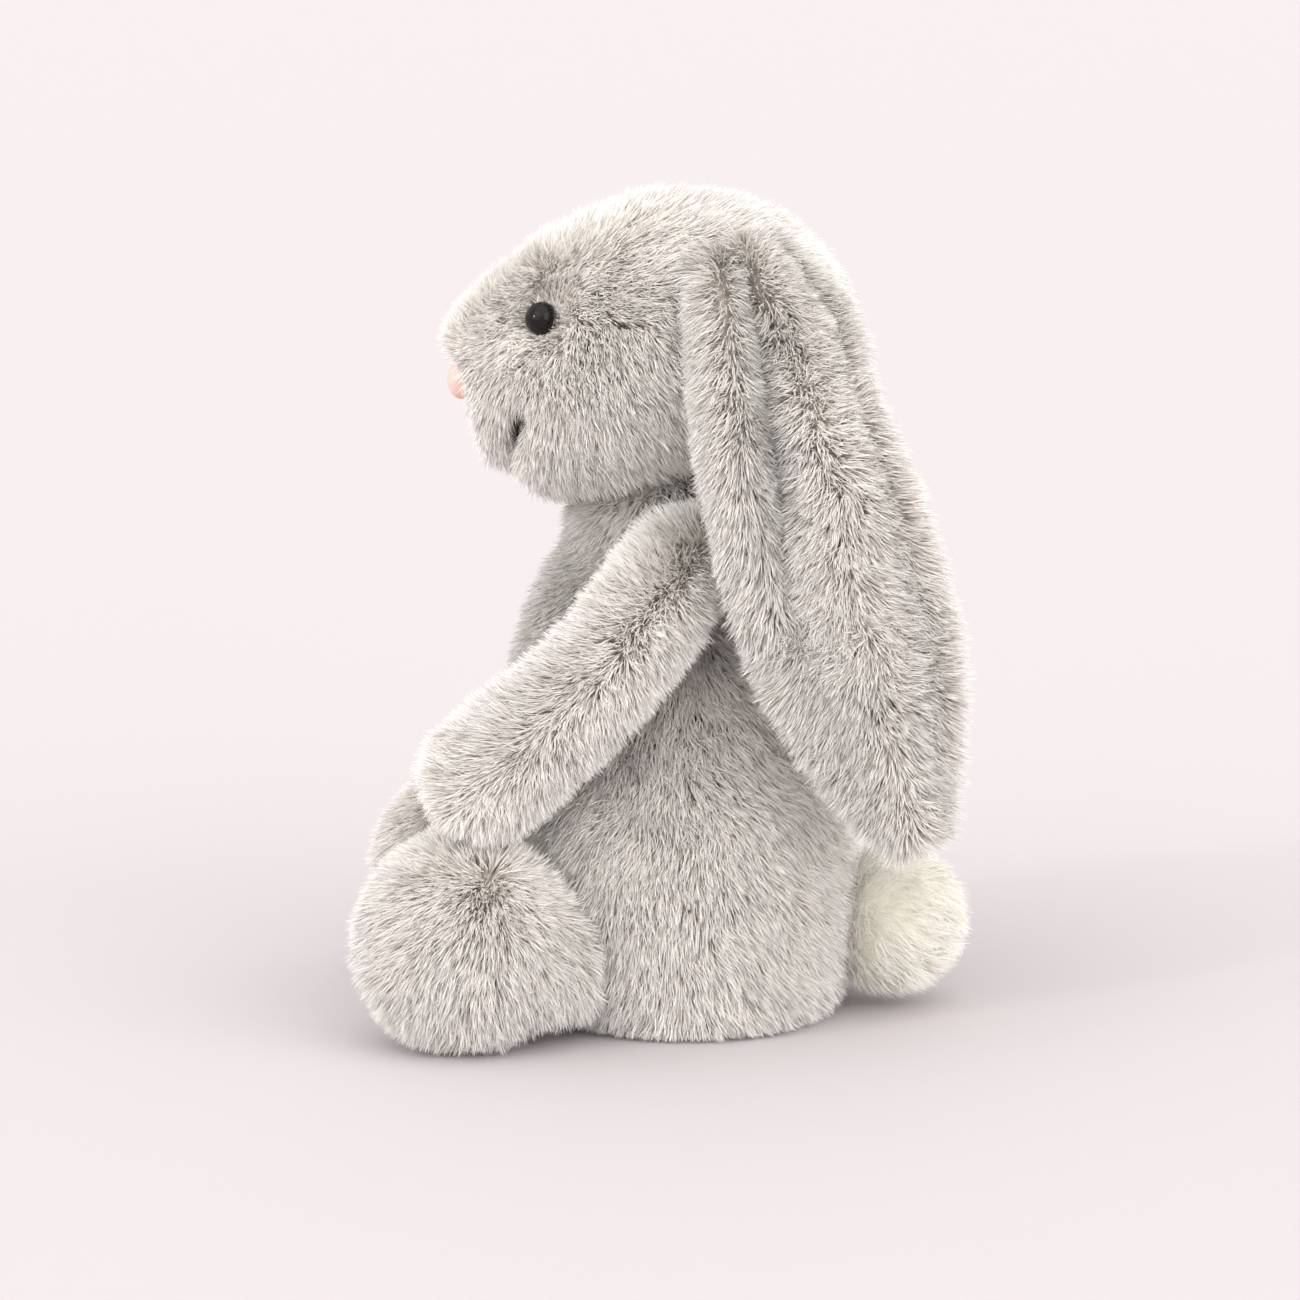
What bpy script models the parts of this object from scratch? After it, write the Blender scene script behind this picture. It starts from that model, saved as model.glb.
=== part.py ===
"""Seated plush bunny: pile-fabric covers, fibre fillings, a pellet seat and sewn joints.

The bunny faces -Y, +X is its own left side and the flat seat rests on z = 0.
Every cover is a fabric shell that is open where it is sewn on, with its filling inside.
"""
import math

import bmesh
import bpy
import numpy as np
from mathutils import Matrix, Vector
from mathutils.bvhtree import BVHTree

MM = 0.001

# Fabric and fits
PLUSH_WALL = 2.6 * MM           # backing and dense pile of the covers
EAR_WALL = 2.2 * MM             # one ear panel
FIT_GAP = 0.4 * MM              # between any two pieces that touch on the real toy
FILLING_GAP = 0.9 * MM          # between a cover and its filling
NECK_CLEARANCE = 0.8 * MM       # round neck in the head's hollow

# Body
BODY_WIDTH = 88.0 * MM
BODY_DEPTH = 87.0 * MM
NECK_HEIGHT = 112.0 * MM        # centre of the round neck, above the seat
NECK_BACK = -5.0 * MM
NECK_RADIUS = 26.0 * MM
NECK_OPENING_RADIUS = 11.0 * MM
PELLET_LEVEL = 30.0 * MM        # top of the pellet bag
BAG_WALL = 0.8 * MM
BAG_SLIT_RADIUS = 6.0 * MM
SEAM_RADIUS = 0.9 * MM          # neck closing thread
SEAM_RISE = 14.0 * MM           # its height above the neck centre

# Head
HEAD_LENGTH = 93.0 * MM
HEAD_HEIGHT = 70.0 * MM
HEAD_WIDTH = 77.0 * MM
HEAD_LIFT = 49.5 * MM           # head middle above the neck centre
HEAD_FORWARD = 8.0 * MM         # head middle in front of the neck centre

# Face
EYE_RADIUS = 4.6 * MM
EYE_BULGE = 3.4 * MM
EYE_POST_RADIUS = 1.4 * MM
EYE_POST_LENGTH = 9.0 * MM
WASHER_RADIUS = 5.0 * MM
WASHER_THICKNESS = 1.6 * MM
EYE_STAND = 0.9 * MM            # dome above the fabric
EYE_HOLE_DEPTH = 1.5 * MM       # hole beyond the post's end
WASHER_GAP = 1.4 * MM           # cover to washer
EYE_BACK = 23.0 * MM            # from the muzzle tip
EYE_RISE = 9.5 * MM             # above the head middle
NOSE_WIDTH = 10.0 * MM
NOSE_HEIGHT = 7.5 * MM
NOSE_DEPTH = 3.0 * MM
NOSE_DROP = 8.0 * MM            # below the head middle
THREAD_RADIUS = 0.6 * MM
MOUTH_DROP = 21.0 * MM          # lowest point of the mouth below the head middle
MOUTH_HALF_WIDTH = 21.0 * MM
MOUTH_SMILE = 8.5 * MM          # how far its ends rise

# Arms
ARM_LENGTH = 83.0 * MM          # shoulder axis to paw tip
ARM_RADIUS = 11.8 * MM
ARM_SEAM_RADIUS = 8.0 * MM      # gathered end that is sewn to the body
PAW_RADIUS = 13.2 * MM
SHOULDER_RISE = 5.0 * MM        # shoulder axis above the neck centre
SHOULDER_BACK = 2.0 * MM        # behind the neck centre
SHOULDER_SEAT = 3.4 * MM        # depth of the flat that the arm is sewn on
SHOULDER_MARGIN = 2.2 * MM      # armhole round the arm
ARM_INSET = 6.7 * MM            # inner side of the arm, inside the body's greatest width
ARM_SLOPE_SHARE = 0.45          # of that spread, reached at the top of the arm
ARM_SAG = 3.0 * MM              # of the middle of the arm
ARM_FORWARD_DEG = 43.0          # left arm, forward of hanging straight down
RIGHT_ARM_DROP_DEG = 12.0       # the right arm rests this much lower

# Legs
LEG_RADIUS = 13.5 * MM
FOOT_LENGTH = 43.0 * MM
FOOT_WIDTH = 40.0 * MM
FOOT_HEIGHT = 50.0 * MM
FOOT_SPREAD = 43.0 * MM         # foot middle from the middle plane
FOOT_REACH = 26.0 * MM          # foot middle in front of the leg seam
LEG_SEAM_FORWARD = 25.0 * MM    # leg seam in front of the neck centre
LEG_AXIS_HEIGHT = 2.0 * MM      # the leg hangs from its lower seam
LEG_HEM = 3.0 * MM              # leg tube above that seam
HIP_INSET = 8.0 * MM            # leg seam nearer the middle plane than the foot

# Ears
EAR_LENGTH = 143.0 * MM
EAR_WIDTH = 47.0 * MM
EAR_LEAN_DEG = 17.5             # back from hanging straight down
EAR_ROOT_DROP = 10.0 * MM       # root seam below the crown
EAR_ROOT_BACK = 9.0 * MM        # root seam behind the neck centre
EAR_LOBE = 7.0 * MM             # how far the folded front edge stands out
EAR_ARM_GAP = 1.8 * MM          # between the hanging ear and the top of the arm

# Tail
TAIL_RADIUS = 14.5 * MM
TAIL_HEIGHT = 21.5 * MM
TAIL_OPENING_DEG = 18.0
TAIL_STAND = 0.6 * MM           # round part of the tail clear of its seam

ROUND = 18                      # corners of a ring on the body and head
LIMB_ROUND = 12

GREY = (0.62, 0.59, 0.56, 1.0)
PALE_GREY = (0.68, 0.66, 0.63, 1.0)
CREAM = (0.90, 0.87, 0.78, 1.0)
FIBRE = (0.93, 0.93, 0.92, 1.0)
CLOTH = (0.82, 0.81, 0.78, 1.0)
PELLET = (0.78, 0.78, 0.75, 1.0)
BLACK = (0.012, 0.010, 0.010, 1.0)
PINK = (0.86, 0.56, 0.52, 1.0)
CHARCOAL = (0.09, 0.075, 0.07, 1.0)

NECK = Vector((0, NECK_BACK, NECK_HEIGHT))
HEAD_MIDDLE = NECK + Vector((0, -HEAD_FORWARD, HEAD_LIFT))
HEAD_FRONT = HEAD_MIDDLE.y - HEAD_LENGTH / 2
HEAD_TOP = HEAD_MIDDLE.z + HEAD_HEIGHT / 2
SHOULDER_X = NECK_RADIUS - SHOULDER_SEAT
SHOULDER_Y = NECK_BACK + SHOULDER_BACK
SHOULDER_Z = NECK_HEIGHT + SHOULDER_RISE
ARM_SPREAD = BODY_WIDTH / 2 - ARM_INSET + ARM_RADIUS - SHOULDER_X   # paw outside the shoulder seam
LEG_SEAM_Y = NECK_BACK - LEG_SEAM_FORWARD
EAR_HEAD_GAP = HEAD_WIDTH / 35  # lets the ear's flat facets pass over the round head


def material(name, colour, roughness):
    mat = bpy.data.materials.new(name)
    mat.use_nodes = True
    shader = mat.node_tree.nodes["Principled BSDF"]
    shader.inputs["Base Color"].default_value = colour
    shader.inputs["Roughness"].default_value = roughness
    shader.inputs["Metallic"].default_value = 0.0
    return mat


def finish(bm, name, mat):
    """Put a bmesh into a named object, with its faces outward and smooth."""
    bmesh.ops.recalc_face_normals(bm, faces=bm.faces[:])
    mesh = bpy.data.meshes.new(name)
    bm.to_mesh(mesh)
    bm.free()
    mesh.shade_smooth()
    mesh.set_sharp_from_angle(angle=math.radians(40))
    obj = bpy.data.objects.new(name, mesh)
    mesh.materials.append(mat)
    bpy.context.collection.objects.link(obj)
    return obj


def smooth_rows(rows, steps):
    """Cubic curve through the rows (Catmull-Rom), with that many steps between two rows."""
    table = np.array(rows, dtype=float)
    before = np.vstack([2 * table[0] - table[1], table[:-2], table[-3:-2]])
    after = np.vstack([table[2:], 2 * table[-1] - table[-2]])
    start, end = table[:-1], table[1:]
    slope_start = (end - before[:len(start)]) / 2
    slope_end = (after - start) / 2
    out = []
    for i in range(len(start)):
        for t in np.linspace(0, 1, steps, endpoint=False):
            out.append((2 * t**3 - 3 * t**2 + 1) * start[i] + (t**3 - 2 * t**2 + t) * slope_start[i]
                       + (3 * t**2 - 2 * t**3) * end[i] + (t**3 - t**2) * slope_end[i])
    out.append(table[-1])
    return np.array(out)


def ring(bm, centre, side, up, half_side, half_up, corners):
    verts = []
    for i in range(corners):
        turn = 2 * math.pi * i / corners
        verts.append(bm.verts.new(centre + side * (half_side * math.cos(turn))
                                  + up * (half_up * math.sin(turn))))
    return verts


def loft(rings, start_pole=None, end_pole=None, open_start=False, open_end=False):
    """Skin over rings of (centre, side, up, half side, half up).

    An end is closed by a pole, by a flat cap, or left open.
    """
    bm = bmesh.new()
    corners = LIMB_ROUND if len(rings[0]) == 5 else rings[0][5]
    loops = [ring(bm, *row[:5], corners) for row in rings]
    for low, high in zip(loops, loops[1:]):
        for i in range(corners):
            j = (i + 1) % corners
            bm.faces.new((low[i], low[j], high[j], high[i]))
    for loop, pole, is_open in ((loops[0], start_pole, open_start), (loops[-1], end_pole, open_end)):
        if pole is not None:
            tip = bm.verts.new(pole)
            for i in range(corners):
                bm.faces.new((loop[i], loop[(i + 1) % corners], tip))
        elif not is_open:
            bm.faces.new(loop)
    return bm


def apply_modifiers(obj):
    """Replace the object's mesh by its evaluated mesh."""
    evaluated = obj.evaluated_get(bpy.context.evaluated_depsgraph_get())
    mesh = bpy.data.meshes.new_from_object(evaluated)
    obj.modifiers.clear()
    obj.data = mesh


def thicken(obj, wall):
    solid = obj.modifiers.new("wall", "SOLIDIFY")
    solid.thickness = wall
    solid.offset = -1.0
    apply_modifiers(obj)


def displaced(obj, distance):
    """Move the surface along its normals: outward when positive."""
    push = obj.modifiers.new("offset", "DISPLACE")
    push.strength = distance
    push.mid_level = 0.0
    apply_modifiers(obj)
    return obj


def make_filling(name, rings, mat, **ends):
    """Closed solid inside a cover of the same rings: the open surface moved inward, then capped."""
    obj = displaced(finish(loft(rings, **ends), name, mat), -(PLUSH_WALL + FILLING_GAP))
    bm = bmesh.new()
    bm.from_mesh(obj.data)
    bmesh.ops.holes_fill(bm, edges=[edge for edge in bm.edges if edge.is_boundary], sides=0)
    bmesh.ops.recalc_face_normals(bm, faces=bm.faces[:])
    bm.to_mesh(obj.data)
    bm.free()
    return obj


def cut(obj, cutter):
    boolean = obj.modifiers.new("cut", "BOOLEAN")
    boolean.operation = "DIFFERENCE"
    boolean.solver = "EXACT"
    boolean.object = cutter
    apply_modifiers(obj)


def guide(obj):
    obj.hide_render = True
    obj.display_type = "WIRE"
    return obj


def ball(name, centre, radius, mat, rings=14, corners=ROUND):
    bm = bmesh.new()
    bmesh.ops.create_uvsphere(bm, u_segments=corners, v_segments=rings, radius=radius)
    bmesh.ops.translate(bm, verts=bm.verts, vec=centre)
    return finish(bm, name, mat)


def rod(name, start, end, radius, mat, corners=16, end_radius=None):
    """Straight round rod, or a cone, from start to end."""
    axis = Vector(end) - Vector(start)
    bm = bmesh.new()
    bmesh.ops.create_cone(bm, cap_ends=True, segments=corners, radius1=radius,
                          radius2=radius if end_radius is None else end_radius, depth=axis.length)
    bm.transform(axis.to_track_quat("Z", "Y").to_matrix().to_4x4())
    bmesh.ops.translate(bm, verts=bm.verts, vec=(Vector(start) + Vector(end)) / 2)
    return finish(bm, name, mat)


def torus(name, centre, major, minor, mat, corners=28, section=6):
    bm = bmesh.new()
    loops = []
    for i in range(corners):
        turn = 2 * math.pi * i / corners
        out = Vector((math.cos(turn), math.sin(turn), 0))
        loops.append(ring(bm, centre + out * major, out, Vector((0, 0, 1)), minor, minor, section))
    for i, low in enumerate(loops):
        high = loops[(i + 1) % corners]
        for a in range(section):
            b = (a + 1) % section
            bm.faces.new((low[a], low[b], high[b], high[a]))
    return finish(bm, name, mat)


def surface_of(obj):
    bm = bmesh.new()
    bm.from_mesh(obj.data)
    tree = BVHTree.FromBMesh(bm)
    bm.free()
    return tree


def turned(obj, pivot, degrees):
    """Turn the mesh about the X axis through the pivot, forward and down when positive."""
    turn = Matrix.Rotation(math.radians(degrees), 4, "X")
    obj.data.transform(Matrix.Translation(pivot) @ turn @ Matrix.Translation(-pivot))


def set_origin(obj, point):
    """Place the object's origin on its joint, with the shape where it is."""
    obj.data.transform(Matrix.Translation(-point))
    obj.location = point


# --- body: pear-shaped cover, round neck, filling, pellet bag -----------------------------

def body_rings():
    """Sections from the seat up: height, middle, half depth and half width, then the neck ball."""
    shares = (  # height / neck height, middle / depth, half depth / depth, half width / width
        (0.000, -0.010, 0.320, 0.385), (0.027, -0.030, 0.385, 0.440), (0.107, -0.062, 0.450, 0.478),
        (0.268, -0.092, 0.498, 0.500), (0.446, -0.106, 0.500, 0.484), (0.589, -0.100, 0.467, 0.443),
        (0.714, -0.090, 0.420, 0.395))
    neck_shares = (  # height / neck height, forward / neck radius, then half sizes / neck radius
        (0.90, 0.1, 1.17, 1.06), (1.0, 0.0, 1.0, 1.0))
    rows = [(h * NECK_HEIGHT, m * BODY_DEPTH, d * BODY_DEPTH, w * BODY_WIDTH) for h, m, d, w in shares]
    rows += [(h * NECK_HEIGHT, NECK_BACK - f * NECK_RADIUS, d * NECK_RADIUS, w * NECK_RADIUS)
             for h, f, d, w in neck_shares]
    top = math.acos(NECK_OPENING_RADIUS / NECK_RADIUS)
    for angle in np.linspace(0, top, 6)[1:]:
        radius = NECK_RADIUS * math.cos(angle)
        rows.append((NECK_HEIGHT + NECK_RADIUS * math.sin(angle), NECK_BACK, radius, radius))
    side, back = Vector((1, 0, 0)), Vector((0, 1, 0))
    return [(Vector((0, m, h)), side, back, w, d, ROUND) for h, m, d, w in rows]


def make_body(plush, fibre, cloth, pellet, thread):
    rings = body_rings()
    cover = finish(loft(rings, open_end=True), "body_cover", plush)
    inside = make_filling("body_filling", rings, fibre, open_end=True)
    bag = make_filling("pellet_bag", rings, cloth, open_end=True)
    thicken(cover, PLUSH_WALL)

    seam_radius = math.sqrt((NECK_RADIUS - SEAM_RADIUS - FIT_GAP) ** 2 - SEAM_RISE ** 2)
    seam_centre = NECK + Vector((0, 0, SEAM_RISE))
    torus("neck_seam", seam_centre, seam_radius, SEAM_RADIUS, thread)
    groove = guide(torus("seam_groove", seam_centre, seam_radius, SEAM_RADIUS + FIT_GAP, thread))
    cut(cover, groove)

    reach = BODY_WIDTH
    above = PELLET_LEVEL + FIT_GAP
    lid = guide(slab("bag_lid", PELLET_LEVEL, PELLET_LEVEL + 2 * NECK_HEIGHT, reach, cloth))
    cut(bag, lid)
    floor = guide(slab("filling_floor", -reach, above, reach, fibre))
    cut(inside, floor)

    pellets = bpy.data.objects.new("pellets", bag.data.copy())
    pellets.data.materials.clear()
    pellets.data.materials.append(pellet)
    bpy.context.collection.objects.link(pellets)
    shrink_towards(pellets, BAG_WALL + FIT_GAP)
    hollow = guide(bpy.data.objects.new("bag_hollow", bag.data.copy()))
    bpy.context.collection.objects.link(hollow)
    shrink_towards(hollow, BAG_WALL)
    cut(bag, hollow)
    slit_start = Vector((0, 0, PELLET_LEVEL - 3 * BAG_WALL))
    slit = guide(rod("bag_slit", slit_start, slit_start + Vector((0, 0, 6 * BAG_WALL)),
                     BAG_SLIT_RADIUS, cloth))
    cut(bag, slit)
    return cover, inside


def slab(name, low, high, reach, mat):
    bm = bmesh.new()
    bmesh.ops.create_cube(bm, size=1.0)
    bmesh.ops.scale(bm, verts=bm.verts, vec=(2 * reach, 2 * reach, high - low))
    bmesh.ops.translate(bm, verts=bm.verts, vec=(0, 0, (low + high) / 2))
    return finish(bm, name, mat)


def shrink_towards(obj, distance):
    """Shrink a closed shape about its middle until each side has moved in by the distance."""
    corners = np.array([vert.co[:] for vert in obj.data.vertices])
    low, high = corners.min(axis=0), corners.max(axis=0)
    middle = (low + high) / 2
    scale = (high - low - 2 * distance) / (high - low)
    place = Matrix.Translation(middle) @ Matrix.Diagonal((*scale, 1.0)) @ Matrix.Translation(-middle)
    obj.data.transform(place)


# --- head: cover with eyes, nose and mouth ------------------------------------------------

def head_rings():
    """Sections from the muzzle back: distance, middle height, half height and half width."""
    shares = (  # distance / length, rise / height, half height / height, half width / width
        (0.012, -0.085, 0.105, 0.120), (0.038, -0.095, 0.172, 0.195), (0.102, -0.092, 0.272, 0.280),
        (0.177, -0.085, 0.362, 0.350), (0.285, -0.055, 0.432, 0.425), (0.46, -0.005, 0.490, 0.490),
        (0.60, 0.030, 0.470, 0.500), (0.73, 0.045, 0.435, 0.470), (0.85, 0.055, 0.360, 0.385),
        (0.935, 0.060, 0.250, 0.270), (0.98, 0.065, 0.140, 0.150))
    rows = [(d * HEAD_LENGTH, r * HEAD_HEIGHT, h * HEAD_HEIGHT, w * HEAD_WIDTH) for d, r, h, w in shares]
    side, up = Vector((-1, 0, 0)), Vector((0, 0, 1))
    return [(Vector((0, HEAD_FRONT + d, HEAD_MIDDLE.z + r)), side, up, w, h, ROUND)
            for d, r, h, w in rows]


def make_head(plush, fibre, black, washer_mat, pink, thread):
    rings = head_rings()
    front = Vector((0, HEAD_FRONT, rings[0][0].z))
    back = Vector((0, HEAD_FRONT + HEAD_LENGTH, rings[-1][0].z))
    cover = finish(loft(rings, front, back), "head_cover", plush)
    skin = surface_of(cover)
    filling = make_filling("head_filling", rings, fibre, start_pole=front, end_pole=back)
    inner = guide(finish(loft(rings, front, back), "head_inner", fibre))
    displaced(inner, -PLUSH_WALL)
    cut(cover, inner)

    socket = guide(ball("neck_socket", NECK, NECK_RADIUS + NECK_CLEARANCE, fibre, 16, 28))
    cut(cover, socket)
    cut(filling, socket)

    for side, label in ((1, "left"), (-1, "right")):
        make_eye(label, side, skin, cover, filling, black, washer_mat)

    # nose: a small cushion let into the muzzle
    nose_point = Vector((0, HEAD_FRONT, HEAD_MIDDLE.z - NOSE_DROP))
    seat, normal, _, _ = skin.ray_cast(nose_point - Vector((0, HEAD_LENGTH, 0)), Vector((0, 1, 0)))
    nose = cushion("nose", seat, normal, NOSE_WIDTH, NOSE_HEIGHT, NOSE_DEPTH, pink)
    pocket = guide(cushion("nose_pocket", seat, normal, NOSE_WIDTH + 2 * FIT_GAP,
                           NOSE_HEIGHT + 2 * FIT_GAP, NOSE_DEPTH + 2 * FIT_GAP, pink))
    cut(cover, pocket)

    # mouth: one thread from cheek to cheek, and a short upright one up to the nose
    lip_z = HEAD_MIDDLE.z - MOUTH_DROP
    off = THREAD_RADIUS + FIT_GAP
    path = []
    for share in np.linspace(-1, 1, 13):
        z = lip_z + MOUTH_SMILE * share * share
        path.append(on_face(skin, share * MOUTH_HALF_WIDTH, z, off))
    cord("mouth_thread", path, THREAD_RADIUS, thread)
    lip_top = nose_point.z - NOSE_HEIGHT / 2 - 2 * FIT_GAP
    lip_low = lip_z + 2 * THREAD_RADIUS + 2 * FIT_GAP
    lip = [on_face(skin, 0.0, z, off) for z in np.linspace(lip_low, lip_top, 4)]
    cord("lip_thread", lip, THREAD_RADIUS, thread)
    ear_space = displaced(finish(loft(rings, front, back), "ear_space", fibre), EAR_WALL + EAR_HEAD_GAP)
    return surface_of(guide(ear_space))


def on_face(skin, x, z, off):
    """Point on the front of the face at that place, lifted off the fabric."""
    point, normal, _, _ = skin.ray_cast(Vector((x, HEAD_FRONT - HEAD_LENGTH, z)), Vector((0, 1, 0)))
    return point + normal * off


def make_eye(label, side, skin, cover, filling, black, washer_mat):
    """Domed safety eye: its post goes through the cover into a washer behind it."""
    start = Vector((side * HEAD_WIDTH, HEAD_FRONT + EYE_BACK, HEAD_MIDDLE.z + EYE_RISE))
    point, normal, _, _ = skin.ray_cast(start, Vector((-side, 0, 0)))
    base = point + normal * EYE_STAND
    dome_rows = [(EYE_BULGE * math.sin(angle), EYE_RADIUS * math.cos(angle))
                 for angle in np.linspace(0, math.pi / 2, 7)[:-1]]
    turn = normal.to_track_quat("Z", "Y").to_matrix()
    across, up = turn @ Vector((1, 0, 0)), turn @ Vector((0, 1, 0))
    rings = [(base - normal * EYE_POST_LENGTH, across, up, EYE_POST_RADIUS, EYE_POST_RADIUS, 16),
             (base, across, up, EYE_POST_RADIUS, EYE_POST_RADIUS, 16)]
    rings += [(base + normal * rise, across, up, radius, radius, 16) for rise, radius in dome_rows]
    finish(loft(rings, end_pole=base + normal * EYE_BULGE), label + "_eye", black)
    post_hole = guide(rod(label + "_post_hole", base - normal * (EYE_POST_LENGTH + EYE_HOLE_DEPTH), base,
                          EYE_POST_RADIUS + FIT_GAP, black))
    cut(cover, post_hole)
    cut(filling, post_hole)
    washer_top = point - normal * (PLUSH_WALL + WASHER_GAP)
    washer_low = washer_top - normal * WASHER_THICKNESS
    washer = rod(label + "_eye_washer", washer_low, washer_top, WASHER_RADIUS, washer_mat)
    cut(washer, post_hole)
    nest = guide(rod(label + "_washer_nest", washer_low - normal * FIT_GAP, point,
                     WASHER_RADIUS + FIT_GAP, washer_mat))
    cut(filling, nest)


def cushion(name, centre, normal, width, height, depth, mat):
    """Flattened ball facing along the normal."""
    bm = bmesh.new()
    bmesh.ops.create_uvsphere(bm, u_segments=16, v_segments=10, radius=0.5)
    bmesh.ops.scale(bm, verts=bm.verts, vec=(width, height, depth))
    bm.transform(normal.to_track_quat("Z", "Y").to_matrix().to_4x4())
    bmesh.ops.translate(bm, verts=bm.verts, vec=centre)
    return finish(bm, name, mat)


def cord(name, points, radius, mat):
    curve = bpy.data.curves.new(name, "CURVE")
    curve.dimensions = "3D"
    curve.bevel_depth = radius
    curve.bevel_resolution = 2
    curve.use_fill_caps = True
    spline = curve.splines.new("POLY")
    spline.points.add(len(points) - 1)
    for node, point in zip(spline.points, points):
        node.co = (*point, 1.0)
    curve.materials.append(mat)
    obj = bpy.data.objects.new(name, curve)
    bpy.context.collection.objects.link(obj)
    return obj


# --- limbs --------------------------------------------------------------------------------

def arm_rings(side):
    """Sections from the shoulder seam to the paw, in the left arm's resting pose."""
    reach = ARM_LENGTH - PAW_RADIUS
    forward = math.radians(ARM_FORWARD_DEG)
    along = Vector((0, -math.sin(forward), -math.cos(forward)))
    root = Vector((SHOULDER_X + FIT_GAP, SHOULDER_Y, SHOULDER_Z))
    flat = Vector((0, math.cos(forward), -math.sin(forward)))
    rows = (  # share of the reach, share of the spread, radius
        (0.00, 0.00, ARM_SEAM_RADIUS), (0.015, 0.18, 0.5 * (ARM_SEAM_RADIUS + ARM_RADIUS)),
        (0.09, ARM_SLOPE_SHARE, 0.96 * ARM_RADIUS), (0.27, 0.76, ARM_RADIUS), (0.50, 0.93, ARM_RADIUS),
        (0.75, 1.00, 0.5 * (ARM_RADIUS + PAW_RADIUS)), (1.00, 1.00, PAW_RADIUS))
    points = [[*(root + along * reach * r + Vector((ARM_SPREAD * s, 0, 0))
                 - flat * ARM_SAG * math.sin(math.pi * r)), w] for r, s, w in rows]
    table = smooth_rows(points, 2)
    rings = []
    for i, row in enumerate(table):
        ahead, behind = table[min(i + 1, len(table) - 1)][:3], table[max(i - 1, 0)][:3]
        tangent = Vector(ahead - behind).normalized()
        if i == 0:
            tangent = Vector((1, 0, 0))
        up = (flat - tangent * flat.dot(tangent)).normalized()
        rings.append((Vector(row[:3]), tangent.cross(up), up, row[3], row[3]))
    last, direction = rings[-1], tangent
    for angle in (25, 48, 68):
        turn = math.radians(angle)
        rings.append((last[0] + direction * PAW_RADIUS * math.sin(turn), last[1], last[2],
                      PAW_RADIUS * math.cos(turn), PAW_RADIUS * math.cos(turn)))
    tip = last[0] + direction * PAW_RADIUS
    if side < 0:
        rings = [(mirror(c), mirror(s), mirror(u), a, b) for c, s, u, a, b in rings]
        tip = mirror(tip)
    return rings, tip


def mirror(vector):
    return Vector((-vector.x, vector.y, vector.z))


def make_arm(label, side, plush, fibre):
    rings, tip = arm_rings(side)
    cover = finish(loft(rings, end_pole=tip, open_start=True), label + "_arm_cover", plush)
    thicken(cover, PLUSH_WALL)
    filling = make_filling(label + "_arm_filling", rings, fibre, end_pole=tip, open_start=True)
    pivot = Vector((side * SHOULDER_X, SHOULDER_Y, SHOULDER_Z))
    for piece in (cover, filling):
        if side < 0:
            turned(piece, pivot, RIGHT_ARM_DROP_DEG)
        set_origin(piece, pivot)


def make_shoulder_seats(body, body_filling, mat):
    """Armhole on each flank of the body, where the arm is sewn on."""
    for side in (1, -1):
        for piece, deeper in ((body, 0.0), (body_filling, FIT_GAP)):
            start = Vector((side * (SHOULDER_X - deeper), SHOULDER_Y, SHOULDER_Z))
            end = start + Vector((side * BODY_WIDTH / 2, 0, 0))
            radius = ARM_RADIUS + SHOULDER_MARGIN + deeper
            cut(piece, guide(rod("shoulder_seat", start, end, radius, mat, 24)))


def leg_rings(side):
    """Sections from inside the body forward to the toe."""
    middle_y = LEG_SEAM_Y - FOOT_REACH
    half = FOOT_LENGTH / 2
    shaft_z = LEG_RADIUS + LEG_AXIS_HEIGHT + LEG_HEM
    foot_z = FOOT_HEIGHT / 2
    rows = [(FOOT_SPREAD - HIP_INSET, LEG_SEAM_Y - FIT_GAP, shaft_z, LEG_RADIUS, LEG_RADIUS)]
    for share in (-0.66, -0.30, 0.0, 0.40, 0.70, 0.90):
        size = math.sqrt(1 - share * share)
        y = middle_y - half * share
        rows.append((FOOT_SPREAD, y, foot_z, FOOT_WIDTH / 2 * size, FOOT_HEIGHT / 2 * size))
    across, up = Vector((side, 0, 0)), Vector((0, 0, 1))
    rings = [(Vector((side * x, y, z)), across, up, w, h) for x, y, z, w, h in smooth_rows(rows, 2)]
    return rings, Vector((side * FOOT_SPREAD, middle_y - half, foot_z))


def make_leg(label, side, body_space, filling_space, plush, fibre):
    rings, toe = leg_rings(side)
    cover = finish(loft(rings, end_pole=toe, open_start=True), label + "_leg_cover", plush)
    thicken(cover, PLUSH_WALL)
    cut(cover, body_space)
    filling = make_filling(label + "_leg_filling", rings, fibre, end_pole=toe, open_start=True)
    cut(filling, filling_space)
    pivot = Vector((side * FOOT_SPREAD, LEG_SEAM_Y, LEG_AXIS_HEIGHT))
    for piece in (cover, filling):
        keep_largest(piece)
        set_origin(piece, pivot)


def keep_largest(obj):
    """Drop the offcuts that a cut leaves behind."""
    bm = bmesh.new()
    bm.from_mesh(obj.data)
    left = set(bm.verts)
    pieces = []
    while left:
        stack = [left.pop()]
        piece = set(stack)
        while stack:
            for edge in stack.pop().link_edges:
                for vert in edge.verts:
                    if vert not in piece:
                        piece.add(vert)
                        stack.append(vert)
        left -= piece
        pieces.append(piece)
    keep = max(pieces, key=len)
    bmesh.ops.delete(bm, geom=[v for v in bm.verts if v not in keep], context="VERTS")
    bm.to_mesh(obj.data)
    bm.free()


# --- ears ---------------------------------------------------------------------------------

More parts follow.
